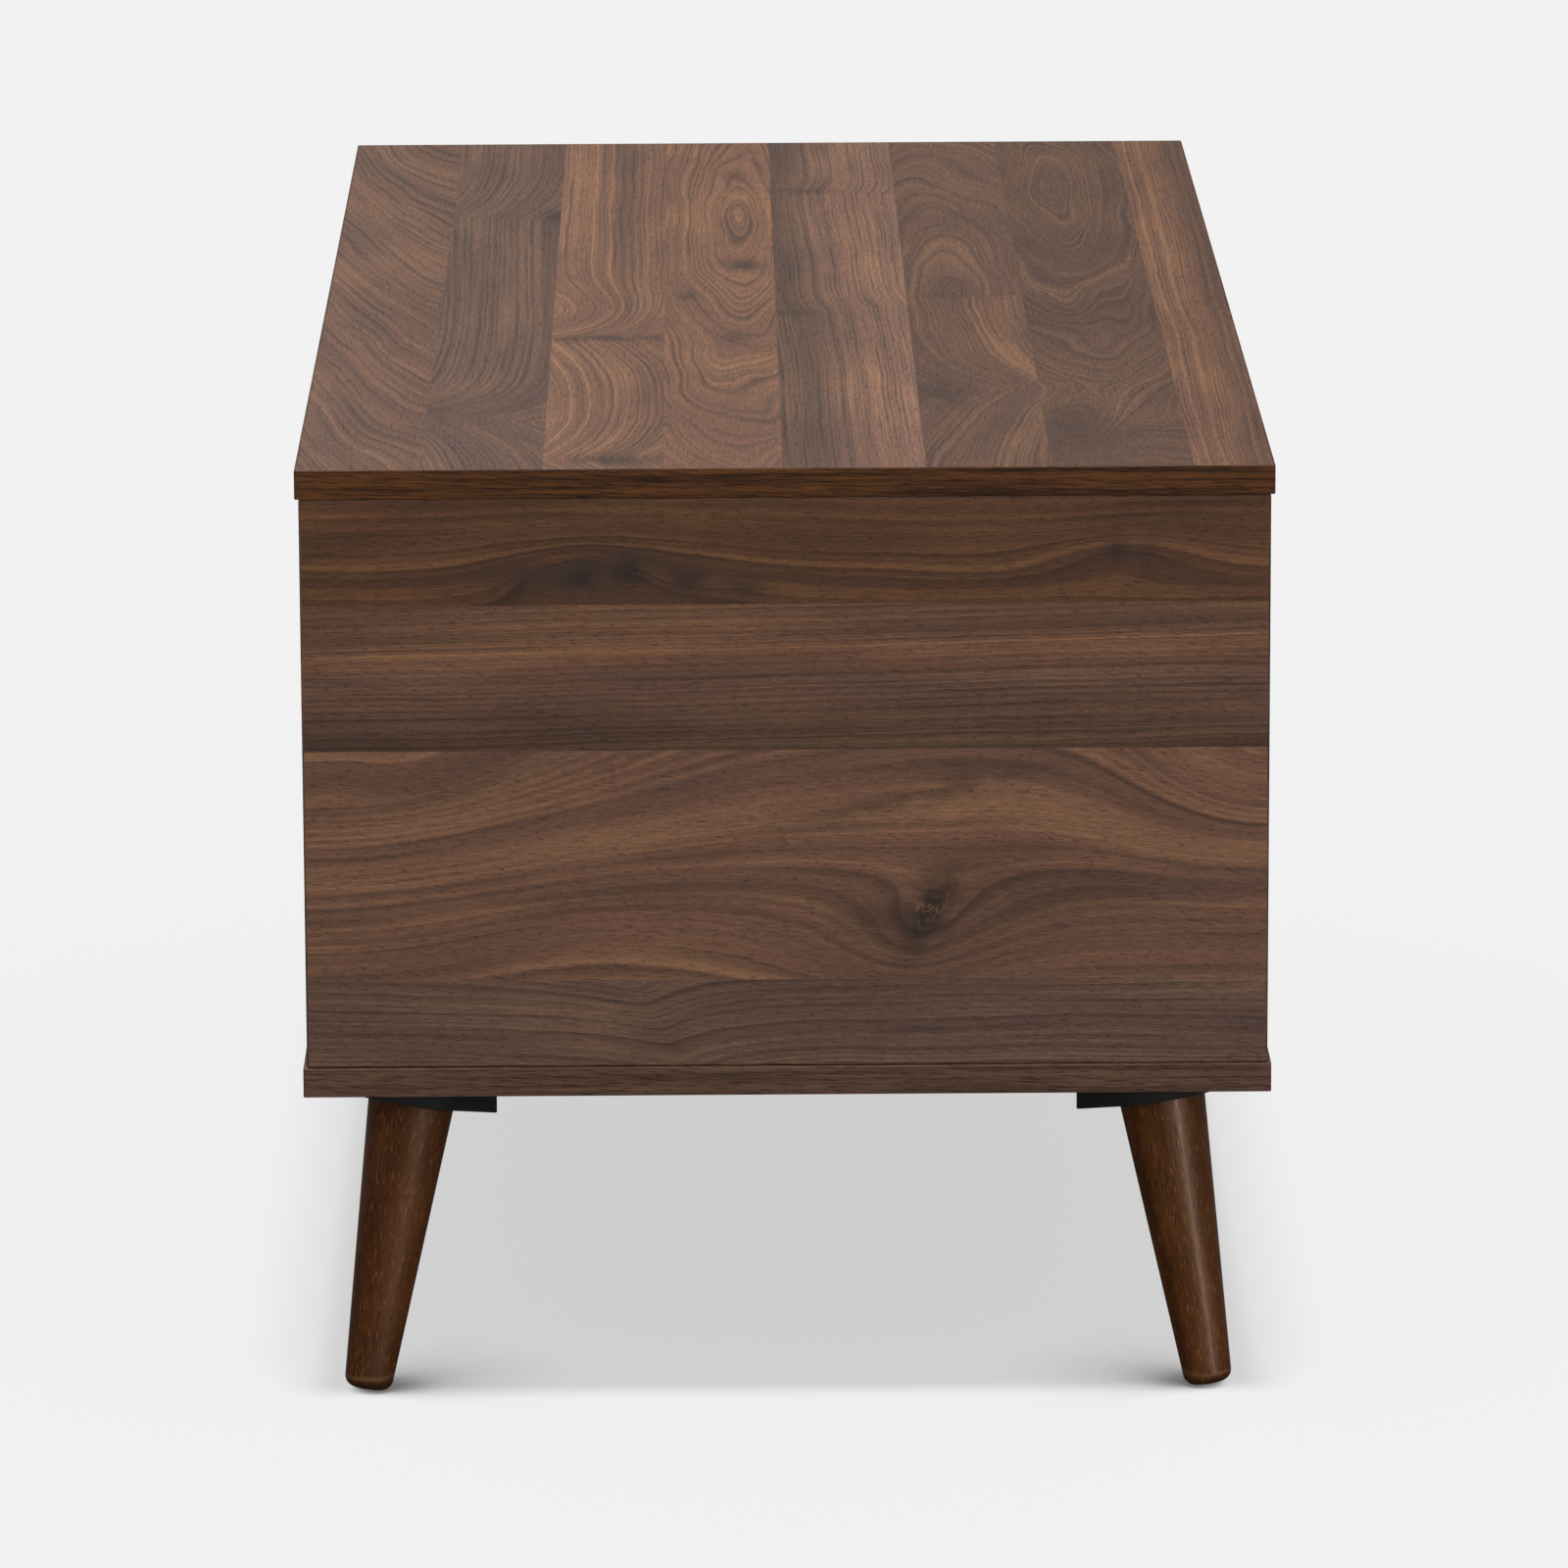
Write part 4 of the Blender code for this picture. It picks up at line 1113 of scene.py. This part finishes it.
aim = geo('GeometryNodeInputNamedAttribute', {"Name": "aim"}, data_type='FLOAT_VECTOR')
faced = geo('FunctionNodeAlignRotationToVector', {"Vector": aim}, axis='Z')
turn = geo('FunctionNodeRandomValue', {3: math.pi, "Seed": given["Seed"]}, 1, data_type='FLOAT')
spun = geo('FunctionNodeEulerToRotation', {0: vector(0.0, 0.0, turn)})
both = geo('FunctionNodeRotateRotation', {0: faced, 1: spun}, rotation_space='LOCAL')
copies = geo('GeometryNodeInstanceOnPoints', {"Points": given["Points"], "Instance": cut, "Rotation": both})
solid = geo('GeometryNodeRealizeInstances', {0: copies})
coated = geo('GeometryNodeSetMaterial', {"Geometry": solid, "Material": given["Metal"]})
heads.links.new(coated.socket, heads.nodes.new('NodeGroupOutput').inputs[0])
print("head nodes:", len(heads.nodes))


def add_heads(name, spots, body, slot, replaced=(), **sizes):
    """One mesh of heads for a body, from (place, aim) spots."""
    points = bpy.data.meshes.new(name)
    points.from_pydata([place for place, _ in spots], [], [])
    ways = points.attributes.new("aim", 'FLOAT_VECTOR', 'POINT')
    ways.data.foreach_set("vector", [n for _, way in spots for n in way])
    piece = put(name, points)
    modifier = piece.modifiers.new("heads", 'NODES')
    modifier.node_group = heads
    for item in heads.interface.items_tree:
        key = item.name.replace(" ", "_")
        if item.in_out == 'INPUT' and key in sizes:
            modifier[item.identifier] = sizes[key]
    made = bpy.data.meshes.new_from_object(piece.evaluated_get(bpy.context.evaluated_depsgraph_get()))
    piece.modifiers.clear()
    piece.data = made
    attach(piece, body)
    if replaced:
        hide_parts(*replaced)
    print(name, len(spots), "heads", len(made.polygons), "faces")


# %% [markdown]
# Four screws hold each bracket, three hold each rail, and a cam lies in each pocket of the end panels. Places
# on the rails and in the pockets are read from the boxes of the solids, so they follow when a size changes,
# which typed numbers would not. Each drawer has its own set, because it carries its screws along.

# %% Screws and cams in place
SCREW = {"Head_diameter": 0.0070, "Head_height": 0.0018, "Rim_taper": 0.35, "Cross_length": 0.0040,
         "Cross_width": 0.0009, "Cross_depth": 0.0010, "Metal": zinc}
CAM = {"Head_diameter": 0.0150, "Head_height": 0.0118, "Rim_taper": 0.03, "Cross_length": 0.0095,
       "Cross_width": 0.0018, "Cross_depth": 0.0022, "Metal": zinc}
DOWN = (0.0, 0.0, -1.0)
HEAD_SUNK = 0.0012
SCREW_SHARES = (0.12, 0.5, 0.88)
DRAWER_SHIFT = 0.012
case_spots = [(spot, DOWN) for spot in bracket_screws]
drawer_spots = {"right": [], "left": []}
for end_name in ("right", "left"):
    for which in ("outer", "inner"):
        low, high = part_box(f"case_rail_{end_name}_{which}")
        drawer_low, drawer_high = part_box(f"drawer_rail_{end_name}_{which}")
        way = 1.0 if low.x > drawer_low.x or high.x > drawer_high.x else -1.0
        case_face = (high.x if way > 0 else low.x) - way * HEAD_SUNK
        drawer_face = (drawer_low.x if way > 0 else drawer_high.x) + way * HEAD_SUNK
        for share in SCREW_SHARES:
            y = low.y + (high.y - low.y) * share
            z = (low.z + high.z) / 2
            case_spots.append(((case_face, y, z), (-way, 0.0, 0.0)))
            drawer_spots[end_name].append(((drawer_face, y + DRAWER_SHIFT, z), (way, 0.0, 0.0)))
add_heads("case_screws", case_spots, "case", "zinc", Seed=3, **SCREW)
for end_name, spots in drawer_spots.items():
    add_heads(f"drawer_{end_name}_screws", spots, f"drawer_{end_name}", "zinc", Seed=4, **SCREW)
cam_spots = []
for name in CAM_NODES:
    low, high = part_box(name)
    place = (low + high) / 2
    place.x = high.x if place.x > 0 else low.x
    cam_spots.append((place, (-1.0 if place.x > 0 else 1.0, 0.0, 0.0)))
add_heads("cams", cam_spots, "case", "zinc", CAM_NODES, Seed=5, **CAM)

# %% [markdown]
# ## Drawer boxes, slides and bolts
# These solids already have the right shape, so they stay. A foil with faint straight grain covers the sides
# and back of a drawer, and its bottom is smooth hardboard. The walnut formula would do here too, but
# stretched noise is enough for a foil that shows only while a drawer is open.

# %% Drawer materials
def foil(name, along, over, through, dark, light, rough):
    material, tree, shader = new_material(name, 0.3)
    at = place_in(tree)
    u, v, w = at[along], at[over], at[through]
    slow = noise(u * 4.0, v * 60.0, w * 60.0, detail=3.0)
    fine = noise(u * 40.0, v * 1300.0, w * 1300.0)
    colour = ramp(fade(slow * 0.8 + fine * 0.5 - 0.15, 0.25, 0.75), dark, light)
    dress(tree, shader, colour, rough + fine * 0.12, fine, 0.00004)
    return material


FOIL_TONES = ((0.052, 0.026, 0.0155), (0.098, 0.052, 0.031))
side_foil = foil("side_foil", "y", "z", "x", *FOIL_TONES, 0.46)
back_foil = foil("back_foil", "x", "z", "y", *FOIL_TONES, 0.46)
hardboard = foil("hardboard", "x", "y", "z", (0.060, 0.033, 0.019), (0.088, 0.050, 0.030), 0.52)
print("drawer materials:", side_foil.name, back_foil.name, hardboard.name)

# %% [markdown]
# A solid from CAD arrives as separate triangles with knife-sharp edges, which catch no light. Modelling it
# again would repeat what is there, so three live modifiers do the work: Weld joins the corners, Decimate
# dissolves flat triangles, and Bevel breaks the edges. Bolts hardly show, so they get their metal only.

# %% Finish the kept solids
FINISHES = (("drawer_rail", rail_steel, 0.0003), ("case_rail", rail_steel, 0.0003),
            ("cam_bolt", zinc, 0.0), ("leg_bolt", zinc, 0.0), ("_side_", side_foil, 0.0006),
            ("_back", back_foil, 0.0006), ("_bottom", hardboard, 0.0003))
kept = [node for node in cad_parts.values() if not node.hide_render]
for node in kept:
    finish, width = next((f, w) for key, f, w in FINISHES if key in node.name)
    for holder in node.material_slots:
        holder.material = finish
    if width:
        weld = node.modifiers.new("weld", 'WELD')
        weld.merge_threshold = 0.00001
        flat = node.modifiers.new("flat", 'DECIMATE')
        flat.decimate_type = 'DISSOLVE'
        flat.angle_limit = math.radians(2.0)
        bevel = node.modifiers.new("arris", 'BEVEL')
        bevel.width, bevel.segments, bevel.limit_method = width, 2, 'ANGLE'
print("kept solids:", len(kept))

# %% [markdown]
# ## Size
# The dressed table must not outgrow its solids, so the box of the dressed table is printed.

# %% Size and finish
low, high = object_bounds()
print("visual box:", [round(b - a, 4) for a, b in zip(low, high)])
